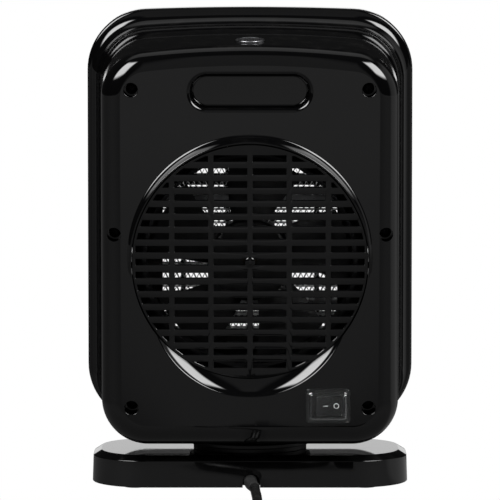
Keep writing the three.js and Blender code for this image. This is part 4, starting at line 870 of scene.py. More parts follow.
@dataclass
class StandbyButton:
    """The plain round button on the sloping shelf, with a raised rim and a brushed face."""

    height: float = 5 * MM
    proud: float = 1.2 * MM

    def __post_init__(self) -> None:
        """Takes the place from the frame; the tilt is given, that of the joint's axis, which points into the
        shelf.
        """
        low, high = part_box("standby_button")
        self.radius = (high.x - low.x) / 2
        self.tilt = math.atan2(0.12194, 0.99254)
        middle_y = (low.y + high.y) / 2
        middle_z = (low.z + high.z) / 2
        raised = self.proud - self.height / 2
        self.centre = np.array([0.0, middle_y - raised * math.sin(self.tilt),
                                middle_z - raised * math.cos(self.tilt)])

    def placed(self, points: Array) -> Array:
        """Tilts points about X so that their Z axis leaves the shelf squarely, and moves them there."""
        cos, sin = math.cos(self.tilt), math.sin(self.tilt)
        x, y, z = points.T
        return np.stack([x, y * cos + z * sin, z * cos - y * sin], axis=1) + self.centre

    def opening(self) -> Skin:
        """The tool that cuts the button's hole."""
        radius = self.radius + GAP
        profile = np.array([[radius, -2 * self.height], [radius, self.height]])
        return Skin().turned(profile, (0, 0, 0), "z", 96).mapped(self.placed)

    def build(self) -> None:
        """Makes the button: a drum whose face is dished inside a narrow rim."""
        radius, top = self.radius, self.proud
        lip, dish, sag = 1.5 * MM, 0.3 * MM, 0.12 * MM
        edge = quarter(0.5 * MM, 5)
        rows = [[0.2 * MM, top - self.height], [radius - lip, top - self.height],
                [radius - lip, top - self.height + MM], [radius, top - self.height + MM]]
        rows += [[radius - drawn, top - 0.5 * MM + along] for drawn, along in edge]
        rows += [[radius - 1.1 * MM, top], [radius - 1.3 * MM, top - sag], [radius - lip, top - dish]]
        rows += [[radius * share, top - dish - sag * (1 - share)] for share in (0.75, 0.5, 0.25, 0.02)]
        skin = Skin().turned(np.array(rows), (0, 0, 0), "z", 96).mapped(self.placed)
        piece = skin.piece("button_cap")
        settle(eased(piece), "button", SILVER, "standby_button")


@dataclass
class RearCover:
    """The rear shell: its handle recess, its six wells, the intake's lip and the scoop under it."""

    body: Body
    seam_edge: float = 0.3 * MM
    tongue: float = 4 * MM
    tongue_wall: float = 1.8 * MM
    well: float = 4.05 * MM
    well_depth: float = 25 * MM
    boss: float = 5.6 * MM
    handle: tuple[float, float] = (68.7 * MM, 18.9 * MM)
    handle_depth: float = 16 * MM
    handle_flare: float = 2.6 * MM
    scoop_drop: float = 20.8 * MM
    scoop_radius: float = 58.6 * MM
    scoop_tilt: float = math.radians(47)
    scoop_edge: float = 1.3 * MM
    scoop_bowl: float = 14.4 * MM

    def __post_init__(self) -> None:
        """Takes the intake's and the handle's places from the frame."""
        self.intake = Intake(self.body)
        screw_boxes = [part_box(f"case_screw_{number}") for number in range(1, 7)]
        self.wells = [((low.x + high.x) / 2, (low.z + high.z) / 2) for low, high in screw_boxes]
        self.screw_floor = screw_boxes[0][1].y - 2.6 * MM - GAP
        self.handle_height = self.body.rear.top - 27 * MM

    def shell(self) -> Piece:
        """The cup of the cover: a bull-nosed outside, an inner wall and the tongue at the seam."""
        body = self.body
        gap_face = body.seam + GAP
        inner_nose = [(body.rear.inset(body.wall + drawn), body.seam + along)
                      for drawn, along in quarter(body.bull_nose - body.wall, 10)]
        hollow = body.rear.inset(body.wall + GAP + self.tongue_wall)
        tongue = body.rear.inset(body.wall + GAP)
        stations = [(section.inset(GAP + self.tongue_wall), y) for section, y in inner_nose[::-1]]
        stations += [(hollow, body.seam - self.tongue), (tongue, body.seam - self.tongue), (tongue, gap_face)]
        stations += [(body.rear.inset(drawn), gap_face + self.seam_edge - along)
                     for drawn, along in quarter(self.seam_edge, 4)[::-1]]
        stations += [(body.rear.inset(drawn), body.seam + along)
                     for drawn, along in quarter(body.bull_nose, 28) if along > GAP + self.seam_edge]
        return Skin().loft(section_rings(stations)).piece("rear_shell")

    def room(self) -> Piece:
        """The space that the bosses have to stay in."""
        body = self.body
        thin = 0.4 * MM
        stations = [(body.rear.inset(body.wall + GAP), self.body.face - self.well_depth - body.wall),
                    (body.rear.inset(body.wall + GAP), body.seam)]
        stations += [(body.rear.inset(thin + drawn), body.seam + thin + along)
                     for drawn, along in quarter(body.bull_nose - 2 * thin, 10)]
        return Skin().loft(section_rings(stations)).piece("room")

    def pill(self, spread: float) -> Array:
        """The handle's outline, let out by a distance."""
        length, height = self.handle
        ring = corner_ring(length / 2 + spread, height / 2 + spread, height / 2 + spread - 0.02 * MM, 24)
        return ring + np.array([0.0, self.handle_height])

    def handle_tool(self) -> Skin:
        """The handle's cavity: round at the floor, and flared at the mouth by a quarter round."""
        face, floor, foot = self.body.face, self.body.face - self.handle_depth, 1.6 * MM
        stations = [(-drawn, floor + foot - along) for drawn, along in quarter(foot, 6)[::-1]]
        flare = [(self.handle_flare - along, face - drawn) for drawn, along in quarter(self.handle_flare, 14)]
        stations += [(spread, place) for spread, place in flare[::-1]]
        stations.append((self.handle_flare, face + 2 * MM))
        return Skin().loft(plate_rings(self.pill, stations, "y"))

    def handle_pocket(self) -> Skin:
        """The wall round the handle's cavity."""
        wall = 2 * MM
        stations = [(wall, self.body.face - self.handle_depth - wall), (wall, self.body.face - MM)]
        return Skin().loft(plate_rings(self.pill, stations, "y"))

    def scoop_profile(self, spread: float) -> Array:
        """The scoop's wall as rows of (radius, depth below the face), from the mouth inwards.

        It turns over the edge by an arc to its steepest tilt, then flattens along a wider arc to
        the intake disc's low edge: both arcs are r sin t across and r (1 - cos t) down.

        Args:
            spread: How far outside the wall to go, for the back of the moulding.

        Returns:
            The rows.
        """
        over = np.linspace(0, self.scoop_tilt, 9)
        across = self.scoop_edge * np.sin(over)
        down = self.scoop_edge * (1 - np.cos(over))
        back = np.linspace(self.scoop_tilt, math.radians(3), 18)[1:]
        bowl_across = across[-1] + self.scoop_bowl * (math.sin(self.scoop_tilt) - np.sin(back))
        bowl_down = down[-1] + self.scoop_bowl * (np.cos(back) - math.cos(self.scoop_tilt))
        radius = self.scoop_radius + spread - np.concatenate([across, bowl_across])
        return np.stack([radius, np.concatenate([down, bowl_down]) + spread], axis=1)

    def scoop_tool(self, spread: float, mouth: float) -> Skin:
        """The scoop as a solid, open at the face: a tool for the cut, or the wall behind it."""
        rows = self.scoop_profile(spread)
        face = self.body.face
        profile = np.vstack([[rows[0, 0], mouth], np.stack([rows[:, 0], face - rows[:, 1]], axis=1)])
        centre = (0.0, 0.0, self.intake.height - self.scoop_drop)
        return Skin().turned(profile, centre, "y", 192)

    def build(self) -> None:
        """Makes the cover and its screws."""
        body = self.body
        cover = self.shell()
        boss_end = body.face - self.well_depth - body.wall
        bosses = Skin()
        for x, z in self.wells:
            bosses.turned(np.array([[self.boss, boss_end], [self.boss, body.face - MM]]), (x, 0, z), "y", 40)
        room = self.room()
        worked(room, bosses, Join.KEEP)
        stock = Skin()
        points = np.empty(len(room.data.vertices) * 3)
        room.data.vertices.foreach_get("co", points)
        by_size: dict[int, list[list[int]]] = {}
        for polygon in room.data.polygons:
            by_size.setdefault(polygon.loop_total, []).append(list(polygon.vertices))
        stock.add(points.reshape(-1, 3), [np.array(group) for group in by_size.values()])
        bpy.data.objects.remove(room)
        worked(cover, stock, Join.ADD)
        worked(cover, self.handle_pocket(), Join.ADD)
        worked(cover, self.scoop_tool(body.wall, body.face - MM), Join.ADD)
        worked(cover, self.intake.collar(), Join.ADD)
        worked(cover, self.scoop_tool(0.0, body.face + 2 * MM), Join.CUT)
        tools = Skin()
        for x, z in self.wells:
            edge = 0.3 * MM
            floor = body.face - self.well_depth
            rows = [[0.3 * MM, boss_end - MM], [2 * MM, boss_end - MM], [2 * MM, floor], [self.well, floor]]
            rows += [[self.well + drawn, body.face - edge + along] for drawn, along in quarter(edge, 5)]
            rows.append([self.well + edge, body.face + 2 * MM])
            tools.turned(np.array(rows), (x, 0, z), "y", 48)
        worked(cover, tools, Join.CUT)
        worked(cover, self.handle_tool(), Join.CUT)
        worked(cover, self.intake.opening(), Join.CUT)
        worked(cover, MainSwitch(body).opening(), Join.CUT)
        settle(eased(cover), "heater_body", GLOSS_BLACK, "rear_cover")
        lip = self.intake.lip().piece("intake_lip")
        settle(eased(lip), "heater_body", GLOSS_BLACK)
        self.screws()

    def screws(self) -> None:
        """Makes the six screws: a domed head with a cross recess, at the bottom of each well."""
        head, dome, shank, length = 3.5 * MM, 2.6 * MM, 1.7 * MM, 16 * MM
        tip = 2 * MM
        rows = [[0.2 * MM, -length], [shank * 0.4, -length], [shank, -length + tip], [shank, 0.0]]
        rows += [[head, 0.0], [head, 0.5 * dome]]
        rows += [[head * math.cos(t), dome * (0.5 + 0.5 * math.sin(t))] for t in np.linspace(0.1, 1.45, 8)]
        blank = Skin().turned(np.array(rows), (0, 0, 0), "y", 40).piece("screw")
        cross = Skin()
        for half in ((2.3 * MM, 0.42 * MM), (0.42 * MM, 2.3 * MM)):
            wide = corner_ring(half[0], half[1], 0.1 * MM, 2)
            narrow = wide * np.array([0.6, 0.6])
            rings = [np.stack([ring[:, 0], np.full(len(ring), y), ring[:, 1]], axis=1)
                     for ring, y in ((narrow, 0.6 * MM), (wide, dome + MM))]
            cross.loft(np.stack(rings))
        worked(blank, cross, Join.CUT)
        points = np.empty(len(blank.data.vertices) * 3, np.float32)
        blank.data.vertices.foreach_get("co", points)
        for number, (x, z) in enumerate(self.wells, start=1):
            moved = points.reshape(-1, 3) + np.array([x, self.screw_floor + GAP, z], np.float32)
            data = blank.data.copy()
            data.vertices.foreach_set("co", moved.reshape(-1))
            screw = linked(f"cross_screw_{number}", data)
            settle(eased(screw), "heater_body", BLACK_SCREW, f"case_screw_{number}")
        bpy.data.objects.remove(blank)


@dataclass
class Intake:
    """The round intake: a tilted slotted disc, the lip over its high side and the collar behind."""

    body: Body
    height: float = 135.5 * MM
    radius: float = 68.6 * MM
    slot_radius: float = 66.9 * MM
    thickness: float = 3 * MM
    rows: int = 19
    pitch: float = 7.57 * MM
    slot: float = 3.5 * MM
    rib_pitch: float = 22.7 * MM
    rib: float = 3.5 * MM
    tilt: float = math.radians(4)
    level_drop: float = 9 * MM
    sunk: float = 1 * MM

    def placed(self, points: Array) -> Array:
        """Tilts points made square to Y about the level line, and moves them to the rear face."""
        cos, sin = math.cos(self.tilt), math.sin(self.tilt)
        x, y, z = points.T
        level = self.height - self.level_drop
        return np.stack([x, y * cos + z * sin + self.body.face, z * cos - y * sin + level], axis=1)

    def opening(self) -> Skin:
        """The tool that cuts the disc's seat."""
        profile = np.array([[self.radius + GAP, -40 * MM], [self.radius + GAP, 20 * MM]])
        return Skin().turned(profile, (0, 0, self.level_drop), "y", 240).mapped(self.placed)

    def collar(self) -> Skin:
        """The wall behind the face that carries the disc."""
        inner, outer = self.radius - MM, self.radius + GAP + 2.4 * MM
        low, high = self.body.face - self.body.bull_nose, self.body.face - self.body.wall / 2
        rows = np.array([[inner, low], [outer, low], [outer, high], [inner, high], [inner, low]])
        return Skin().turned(rows, (0, 0, self.height), "y", 192)

    def lip(self) -> Skin:
        """The crescent over the disc's high side.

        At an angle t round the disc the crest stands h = (drop + R sin t) sin(tilt) above the face.
        The section rises from the disc's seat, rolls over a narrow crest, and runs down a flank that
        flattens into the face. It ends where h is nought.

        Returns:
            The crescent as a closed surface.
        """
        seat = self.radius + GAP
        level = math.asin(-self.level_drop / seat)
        angle = np.linspace(level - 0.012, math.pi - level + 0.012, 161)
        crest = (self.level_drop + seat * np.sin(angle)) * math.sin(self.tilt)
        roll = 0.7 * MM
        turn = np.linspace(math.pi, math.radians(52), 9)
        roll_across = roll * (1 + np.cos(turn))
        roll_up = roll * (np.sin(turn) - 1)
        flank_from = roll_across[-1]
        share = np.linspace(0, 1, 15)[1:]
        width = np.clip(0.9 * MM + 0.62 * np.maximum(crest, 0), 0.9 * MM, None)
        across = [np.full_like(angle, value) for value in roll_across]
        up = [np.maximum(crest + value, -0.5 * MM) for value in roll_up]
        start = up[-1]
        for part in share:
            across.append(flank_from + width * part)
            up.append(start * (1 - part) ** 1.6 - 0.02 * MM)
        across += [flank_from + width, np.zeros_like(angle)]
        up += [np.full_like(angle, -1.5 * MM), np.full_like(angle, -1.5 * MM)]
        across_grid = np.stack(across, axis=1)
        up_grid = np.stack(up, axis=1)
        radius = seat + across_grid
        x = radius * np.cos(angle)[:, None]
        z = self.height + radius * np.sin(angle)[:, None]
        y = self.body.face + up_grid
        return Skin().loft(np.stack([x, y, z], axis=-1))

    def slots(self) -> Skin:
        """The tool that cuts the rows of slots, with their edges rounded over on both faces.

        A slot runs between two ribs, and stops at the circle where it would cross it, so its end
        there is x = sqrt(R^2 - z^2).

        Returns:
            The tool, square to Y.
        """
        front, back = -self.sunk, -self.sunk - self.thickness
        edge = 0.45 * MM
        stations = [(edge, front + MM)]
        stations += [(edge - along, front - drawn) for drawn, along in quarter(edge, 3)]
        stations += [(0.0, back + edge), (edge, back), (edge, back - MM)]
        columns = math.ceil(self.slot_radius / self.rib_pitch)
        tool = Skin()
        for row in range(self.rows):
            middle = (row - (self.rows - 1) / 2) * self.pitch
            for column in range(-columns, columns):
                low = column * self.rib_pitch + self.rib / 2
                high = (column + 1) * self.rib_pitch - self.rib / 2
                cap = math.sqrt(max(self.slot_radius**2 - (min(abs(low), abs(high)) + MM) ** 2, 0.0))
                bottom = max(middle - self.slot / 2, -cap)
                top = min(middle + self.slot / 2, cap)
                if top - bottom < 0.9 * MM:
                    continue
                rings = []
                for spread, y in stations:
                    z = np.linspace(bottom - spread, top + spread, 7)
                    reach = np.sqrt((self.slot_radius + 1.5 * spread) ** 2 - z**2)
                    right = np.minimum(high + spread, reach)
                    left = np.maximum(low - spread, -reach)
                    x = np.concatenate([right, left[::-1]])
                    both = np.concatenate([z, z[::-1]])
                    rings.append(np.stack([x, np.full(len(x), y), both + self.level_drop], axis=1))
                tool.loft(np.stack(rings))
        return tool

    def build(self) -> None:
        """Makes the slotted disc with its centre boss."""
        front, back = -self.sunk, -self.sunk - self.thickness
        rows = [[0.3 * MM, back], [self.radius, back], [self.radius, front - 0.4 * MM]]
        rows += [[self.radius - drawn, front - 0.4 * MM + along] for drawn, along in quarter(0.4 * MM, 4)[1:]]
        rows.append([0.3 * MM, front])
        disc_place = (0, 0, self.level_drop)
        disc = linked("intake_disc", Skin().turned(np.array(rows), disc_place, "y", 240).mesh("disc"))
        worked(disc, self.slots(), Join.CUT)
        boss, swell, boss_front = 3.0 * MM, 1.0 * MM, front + 0.1 * MM
        dome = [[boss, back], [boss, boss_front]]
        dome += [[boss * math.cos(t), boss_front + swell * math.sin(t)] for t in np.linspace(0.15, 1.5, 9)]
        worked(disc, Skin().turned(np.array(dome), disc_place, "y", 48), Join.ADD)
        points = np.empty(len(disc.data.vertices) * 3)
        disc.data.vertices.foreach_get("co", points)
        disc.data.vertices.foreach_set("co", self.placed(points.reshape(-1, 3)).reshape(-1))
        settle(eased(disc, 40.0), "heater_body", GLOSS_BLACK, "rear_grille")


# ---------------------------------------------------------------- the fan


@dataclass
class Fan:
    """The impeller behind the intake: a hub cup and swept blades."""

    blades: int = 5
    hub: float = 24 * MM
    skin: float = 2 * MM
    sweep: float = math.radians(50)
    thickness: float = 1.6 * MM

    def build(self) -> None:
        """Makes the impeller; each blade is r(v) about the axis and rises along it with its chord."""
        low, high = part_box("fan_impeller")
        radius, half = high.x, (high.y - low.y) / 2
        centre = np.array([0.0, (low.y + high.y) / 2, (low.z + high.z) / 2])
        bore = 2.3 * MM
        hub_inner, hub_round = self.hub - self.skin, 3 * MM
        edge = quarter(hub_round, 6)
        rows = [[bore, half - self.skin], [hub_inner, half - self.skin], [hub_inner, -half]]
        rows += [[self.hub, -half]]
        rows += [[self.hub - drawn, half - hub_round + along] for drawn, along in edge]
        rows += [[bore, half], [bore, half - self.skin]]
        hub = Skin().turned(np.array(rows), centre, "y", 96).piece("impeller")
        span = np.linspace(0, 1, 15)[:, None]
        chord = np.linspace(-0.5, 0.5, 17)[None, :]
        reach = self.hub - self.skin / 2 + (radius - self.hub + self.skin / 2) * span
        wide = self.sweep * (1 - 0.12 * span)
        rise = (2 * half - self.thickness - 2 * MM) * (1 - 0.35 * span)
        camber = 1.6 * MM * (0.25 - chord**2) * (1 - span)
        skin_depth = self.thickness / 2 * np.sqrt(np.maximum(1 - (2 * chord) ** 6, 0.02))
        for blade in range(self.blades):
            start = math.pi / 2 + blade * 2 * math.pi / self.blades
            angle = start + 0.18 * span + chord * wide
            lift = chord * rise + camber
            sides = []
            for sign in (1, -1):
                level = lift + sign * skin_depth
                grid = np.stack([reach * np.cos(angle), level, reach * np.sin(angle)], axis=-1)
                sides.append(grid if sign > 0 else grid[:, ::-1])
            rings = np.concatenate(sides, axis=1) + centre
            worked(hub, Skin().loft(rings), Join.ADD)
        settle(eased(hub), "fan", FAN_BLACK, "fan_impeller")


# ---------------------------------------------------------------- the main switch


@dataclass
class MainSwitch:
    """The rocker switch in its bezel, under a clear boot."""

    body: Body
    tilt: float = math.radians(12)
    crown: float = 0.6 * MM
    flange: float = 1.2 * MM

    def __post_init__(self) -> None:
        """Takes sizes from the frame."""
        self.low, self.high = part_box("switch_body")
        self.x = (self.low.x + self.high.x) / 2
        self.z = (self.low.z + self.high.z) / 2
        self.cup = (9.2 * MM, 7.3 * MM)

    def opening(self) -> Skin:
        """The tool that cuts the cover for the switch."""
        half = [side + GAP for side in self.cup]
        stations = [(0.0, self.body.face - 8 * MM), (0.0, self.body.face + 2 * MM)]

        def outline(distance: float) -> Array:
            return corner_ring(half[0], half[1], 0.6 * MM, 3) + np.array([self.x, self.z])

        return Skin().loft(plate_rings(outline, stations, "y"))

    def build(self) -> None:
        """Makes the bezel, the rocker, its marks and the boot."""
        self.bezel()
        self.rocker()
        self.boot()

    def bezel(self) -> None:
        """The switch's own housing: a cup with a flange, and two tabs behind."""
        front = self.high.y
        half_flange = ((self.high.x - self.low.x) / 2, (self.high.z - self.low.z) / 2)
        centre = (self.x, self.z)
        flange_under = front - self.flange
        flange = Skin().loft(rounded_slab(half_flange, 1.2 * MM, 0.35 * MM, flange_under, front, centre))
        piece = flange.piece("switch_bezel")
        back = self.body.face - 18 * MM
        cup = Skin().loft(rounded_slab(self.cup, 0.6 * MM, 0.2 * MM, back, front - 0.5 * MM, centre))
        worked(piece, cup, Join.ADD)
        well = [side - MM for side in self.cup]
        mouth = Skin().loft(rounded_slab(well, 0.5 * MM, 0.1 * MM, back + MM, front + 2 * MM, centre))
        worked(piece, mouth, Join.CUT)
        tabs = Skin()
        tab, tab_top = (2.4 * MM, 0.4 * MM), back + 0.7 * MM
        for x in (-5 * MM, 5 * MM):
            tab_spot = (self.x + x, self.z)
            tabs.loft(rounded_slab(tab, 0.1 * MM, 0.05 * MM, self.low.y, tab_top, tab_spot))
        worked(piece, tabs, Join.ADD)
        settle(eased(piece), "heater_body", SWITCH_BLACK, "switch_body")

    def rocker(self) -> None:
        """The rocker: two shallow dished faces meeting at a ridge, pressed in at its off end.

        Along its length u the face stands crown + |u| tan(tilt) above the pivot, less a dish of
        depth d (1 - (2|u|/L - 1)^2), and the whole is then turned by the tilt.
        """
        low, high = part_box("switch_rocker")
        half = 7.6 * MM
        half_height = (high.z - low.z) / 2
        pivot = np.array([self.x, self.body.face + self.flange, self.z])
        across = np.linspace(-1, 1, 41)
        ridge = np.sqrt(across**2 + 0.002) - math.sqrt(0.002) * 0.5
        dish = 0.35 * MM * (1 - (2 * np.abs(across) - 1) ** 2)
        top = self.crown + half * ridge * math.tan(self.tilt) - dish
        under_u = np.array([0.8, 0.27, -0.27, -0.8]) * half
        under_v = np.array([-1, -7, -7, -1]) * MM
        u = np.concatenate([across[::-1] * -half, under_u])
        v = np.concatenate([top, under_v])
        rim = quarter(0.5 * MM, 4)
        levels = [(drawn, -half_height + 0.5 * MM - along) for drawn, along in rim[::-1]]
        levels += [(drawn, half_height - 0.5 * MM + along) for drawn, along in rim]
        cos, sin = math.cos(self.tilt), math.sin(self.tilt)
        rings = []
        for drawn, z in levels:
            shrink_u = u * (1 - drawn / half)
            shrink_v = v - drawn * (v > 0) + drawn * 0.5 * (v < 0)
            rings.append(np.stack([shrink_u * cos - shrink_v * sin, shrink_u * sin + shrink_v * cos,
                                   np.full(len(u), z)], axis=1))
        piece = Skin().loft(np.stack(rings) + pivot).piece("rocker_cap")
        settle(eased(piece, 38.0), "rocker", SWITCH_BLACK, "switch_rocker")
        self.marks(pivot, half, cos, sin)

    def marks(self, pivot: Array, half: float, cos: float, sin: float) -> None:
        """The printed line and ring: thin raised shapes that follow the rocker's face."""

        def on_face(points: Array) -> Array:
            share = np.clip(np.abs(points[:, 0]) / half, 0, 1)
            dish = 0.35 * MM * (1 - (2 * share - 1) ** 2)
            height = self.crown + np.abs(points[:, 0]) * math.tan(self.tilt) - dish + points[:, 1]
            x = points[:, 0] * cos - height * sin
            y = points[:, 0] * sin + height * cos
            return np.stack([x, y, points[:, 2]], axis=1) + pivot

        thick = 0.06 * MM
        print_skin = Skin()
        line = rounded_slab((1.45 * MM, 0.26 * MM), 0.1 * MM, 0.02 * MM, -thick, thick, (1.9 * MM, 0.0))
        print_skin.loft(line)
        outer, inner = 1.6 * MM, 1.12 * MM
        rows = np.array([[inner, -thick], [outer, -thick], [outer, thick], [inner, thick], [inner, -thick]])
        print_skin.turned(rows, (-4.6 * MM, 0, 0), "y", 48)
        print_skin.mapped(on_face)
        piece = print_skin.piece("rocker_print")
        settle(eased(piece), "rocker", PRINT_WHITE)

    def boot(self) -> None:
        """The clear boot: a flat frame and a hollow pillow with soft edges."""
        low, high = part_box("switch_boot")
        half = ((high.x - low.x) / 2, (high.z - low.z) / 2)
        centre = (self.x, self.z)
        seat = self.body.face + 2 * GAP + self.flange
        frame = rounded_slab(half, 2.2 * MM, 0.7 * MM, low.y, seat + 1.6 * MM, centre)
        piece = Skin().loft(frame).piece("boot_clear")
        inner = (half[0] - 1.8 * MM, half[1] - 1.8 * MM)
        wall = 0.8 * MM
        pillow = rounded_slab(inner, 1.8 * MM, 1.3 * MM, seat - 0.2 * MM, high.y, centre)
        worked(piece, Skin().loft(pillow), Join.ADD)
        hollow = (inner[0] - wall, inner[1] - wall)
        hole = rounded_slab(hollow, 1.2 * MM, 0.9 * MM, self.body.face - MM, high.y - wall, centre)
        worked(piece, Skin().loft(hole), Join.CUT)
        ledge = (inner[0] + GAP, inner[1] + GAP)
        bed = rounded_slab(ledge, 1.2 * MM, 0.05 * MM, self.body.face - MM, seat, centre)
        worked(piece, Skin().loft(bed), Join.CUT)
        settle(eased(piece), "heater_body", BOOT_CLEAR, "switch_boot")


# ---------------------------------------------------------------- the front


@dataclass
class Front:
    """The front panel, its louvred outlet and its display."""

    body: Body
    corner: float = 18 * MM
    rim: float = 4 * MM
    rows: int = 16
    columns: int = 5

    def build(self) -> None:
        """Makes the panel, the outlet grille and the display window."""
        self.panel()
        self.outlet()
        self.display()

    def outlet_ring(self, half: tuple[float, float], centre: float, spread: float) -> Array:
        """The outlet's outline, let out by a distance."""
        ring = corner_ring(half[0] + spread, half[1] + spread, self.corner + spread, 16)
        return ring + np.array([0.0, centre])

    def panel(self) -> None:
        """The panel: its rim rounded, with openings for the outlet and the display."""
        body = self.body
        low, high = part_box("front_fascia")
        section = body.rim.inset(body.rim.half - high.x)
        edge = 3 * MM
        stations = [(section, high.y)]
        stations += [(section.inset(drawn), low.y + edge - along) for drawn, along in quarter(edge, 12)]
        piece = Skin().loft(section_rings(stations)).piece("front_panel")
        grille_low, grille_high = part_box("outlet_grille")
        half = (grille_high.x + GAP, (grille_high.z - grille_low.z) / 2 + GAP)
        centre = (grille_high.z + grille_low.z) / 2
        mouth = 0.8 * MM
        cut = [(0.0, high.y + MM), (0.0, low.y + mouth)]
        cut += [(mouth - along, low.y + drawn) for drawn, along in quarter(mouth, 4)[::-1]]
        cut += [(mouth, low.y - MM)]
        outlet_hole = plate_rings(lambda out: self.outlet_ring(half, centre, out), cut, "y")
        worked(piece, Skin().loft(outlet_hole), Join.CUT)
        low_window, high_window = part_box("display_window")
        size = (high_window.x + GAP, (high_window.z - low_window.z) / 2 + GAP)
        at = (0.0, (high_window.z + low_window.z) / 2)
        window_hole = rounded_slab(size, 1.5 * MM, 0.1 * MM, low.y - MM, high.y + MM, at)
        worked(piece, Skin().loft(window_hole), Join.CUT)
        settle(eased(piece), "heater_body", GLOSS_BLACK, "front_fascia")

    def outlet(self) -> None:
        """The outlet grille: a frame crossed by blades and upright ribs, with rounded edges."""
        low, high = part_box("outlet_grille")
        half = (high.x, (high.z - low.z) / 2)
        centre = (high.z + low.z) / 2
        edge = 0.5 * MM
        ends = [(-drawn, high.y - edge + along) for drawn, along in quarter(edge, 4)[::-1]]
        ends += [(-drawn, low.y + edge - along) for drawn, along in quarter(edge, 4)]
        rings = plate_rings(lambda out: self.outlet_ring(half, centre, out), ends, "y")
        piece = Skin().loft(rings).piece("outlet_louvre")
        width, height = 2 * (half[0] - self.rim), 2 * (half[1] - self.rim)
        pitch_x, pitch_z = width / self.columns, height / self.rows
        slat, rib = 3.4 * MM, 3 * MM
        tool = Skin()
        for row in range(self.rows):
            for column in range(self.columns):
                x = -width / 2 + (column + 0.5) * pitch_x
                z = centre - height / 2 + (row + 0.5) * pitch_z
                size = [(pitch_x - rib) / 2, (pitch_z - slat) / 2]
                outer_column = column in (0, self.columns - 1)
                outer_row = min(row, self.rows - 1 - row)
                trim = (7 * MM, 2 * MM)[outer_row] if outer_column and outer_row < 2 else 0.0
                size[0] -= trim / 2
                x += math.copysign(trim / 2, -x) if trim else 0.0
                mouth = 0.5 * MM
                cut = [(mouth, low.y - MM)]
                cut += [(mouth - along, low.y + drawn) for drawn, along in quarter(mouth, 3)]
                cut += [(0.0, high.y - mouth), (mouth, high.y), (mouth, high.y + MM)]
                slot_round, slot_spot = 1.1 * MM, np.array([x, z])
                tool.loft(plate_rings(
                    lambda out: corner_ring(size[0] + out, size[1] + out, slot_round + out, 4) + slot_spot,
                    cut, "y"))
        worked(piece, tool, Join.CUT)
        settle(eased(piece, 40.0), "heater_body", SATIN_BLACK, "outlet_grille")

    def display(self) -> None:
        """The smoked window, with two unlit seven-bar digits behind it."""
        low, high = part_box("display_window")
        half = (high.x, (high.z - low.z) / 2)
        centre = (high.z + low.z) / 2
        window = rounded_slab(half, 1.5 * MM, 0.3 * MM, low.y, high.y, (0.0, centre))
        settle(eased(Skin().loft(window).piece("window_pane")),
               "heater_body", WINDOW_SMOKED, "display_window")
        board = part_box("display_board")[0]
        bars = Skin()
        long, thick, lean = 2.2 * MM, 0.5 * MM, 4.6 * MM
        for digit in (-5.5 * MM, 5.5 * MM):
            for up in (-lean, 0.0, lean):
                bars.loft(rounded_slab((long, thick), 0.3 * MM, 0.05 * MM,
                                       board.y - 0.35 * MM, board.y - 0.05 * MM, (digit, centre + up)))
            for side in (-1, 1):
                for up in (-lean / 2, lean / 2):
                    at = (digit + side * (long + 0.7 * MM), centre + up)
                    bars.loft(rounded_slab((thick, 1.6 * MM), 0.3 * MM, 0.05 * MM, board.y - 0.35 * MM,
                                           board.y - 0.05 * MM, at))
        settle(eased(bars.piece("display_bars")), "heater_body", PRINT_WHITE)


# ---------------------------------------------------------------- the base


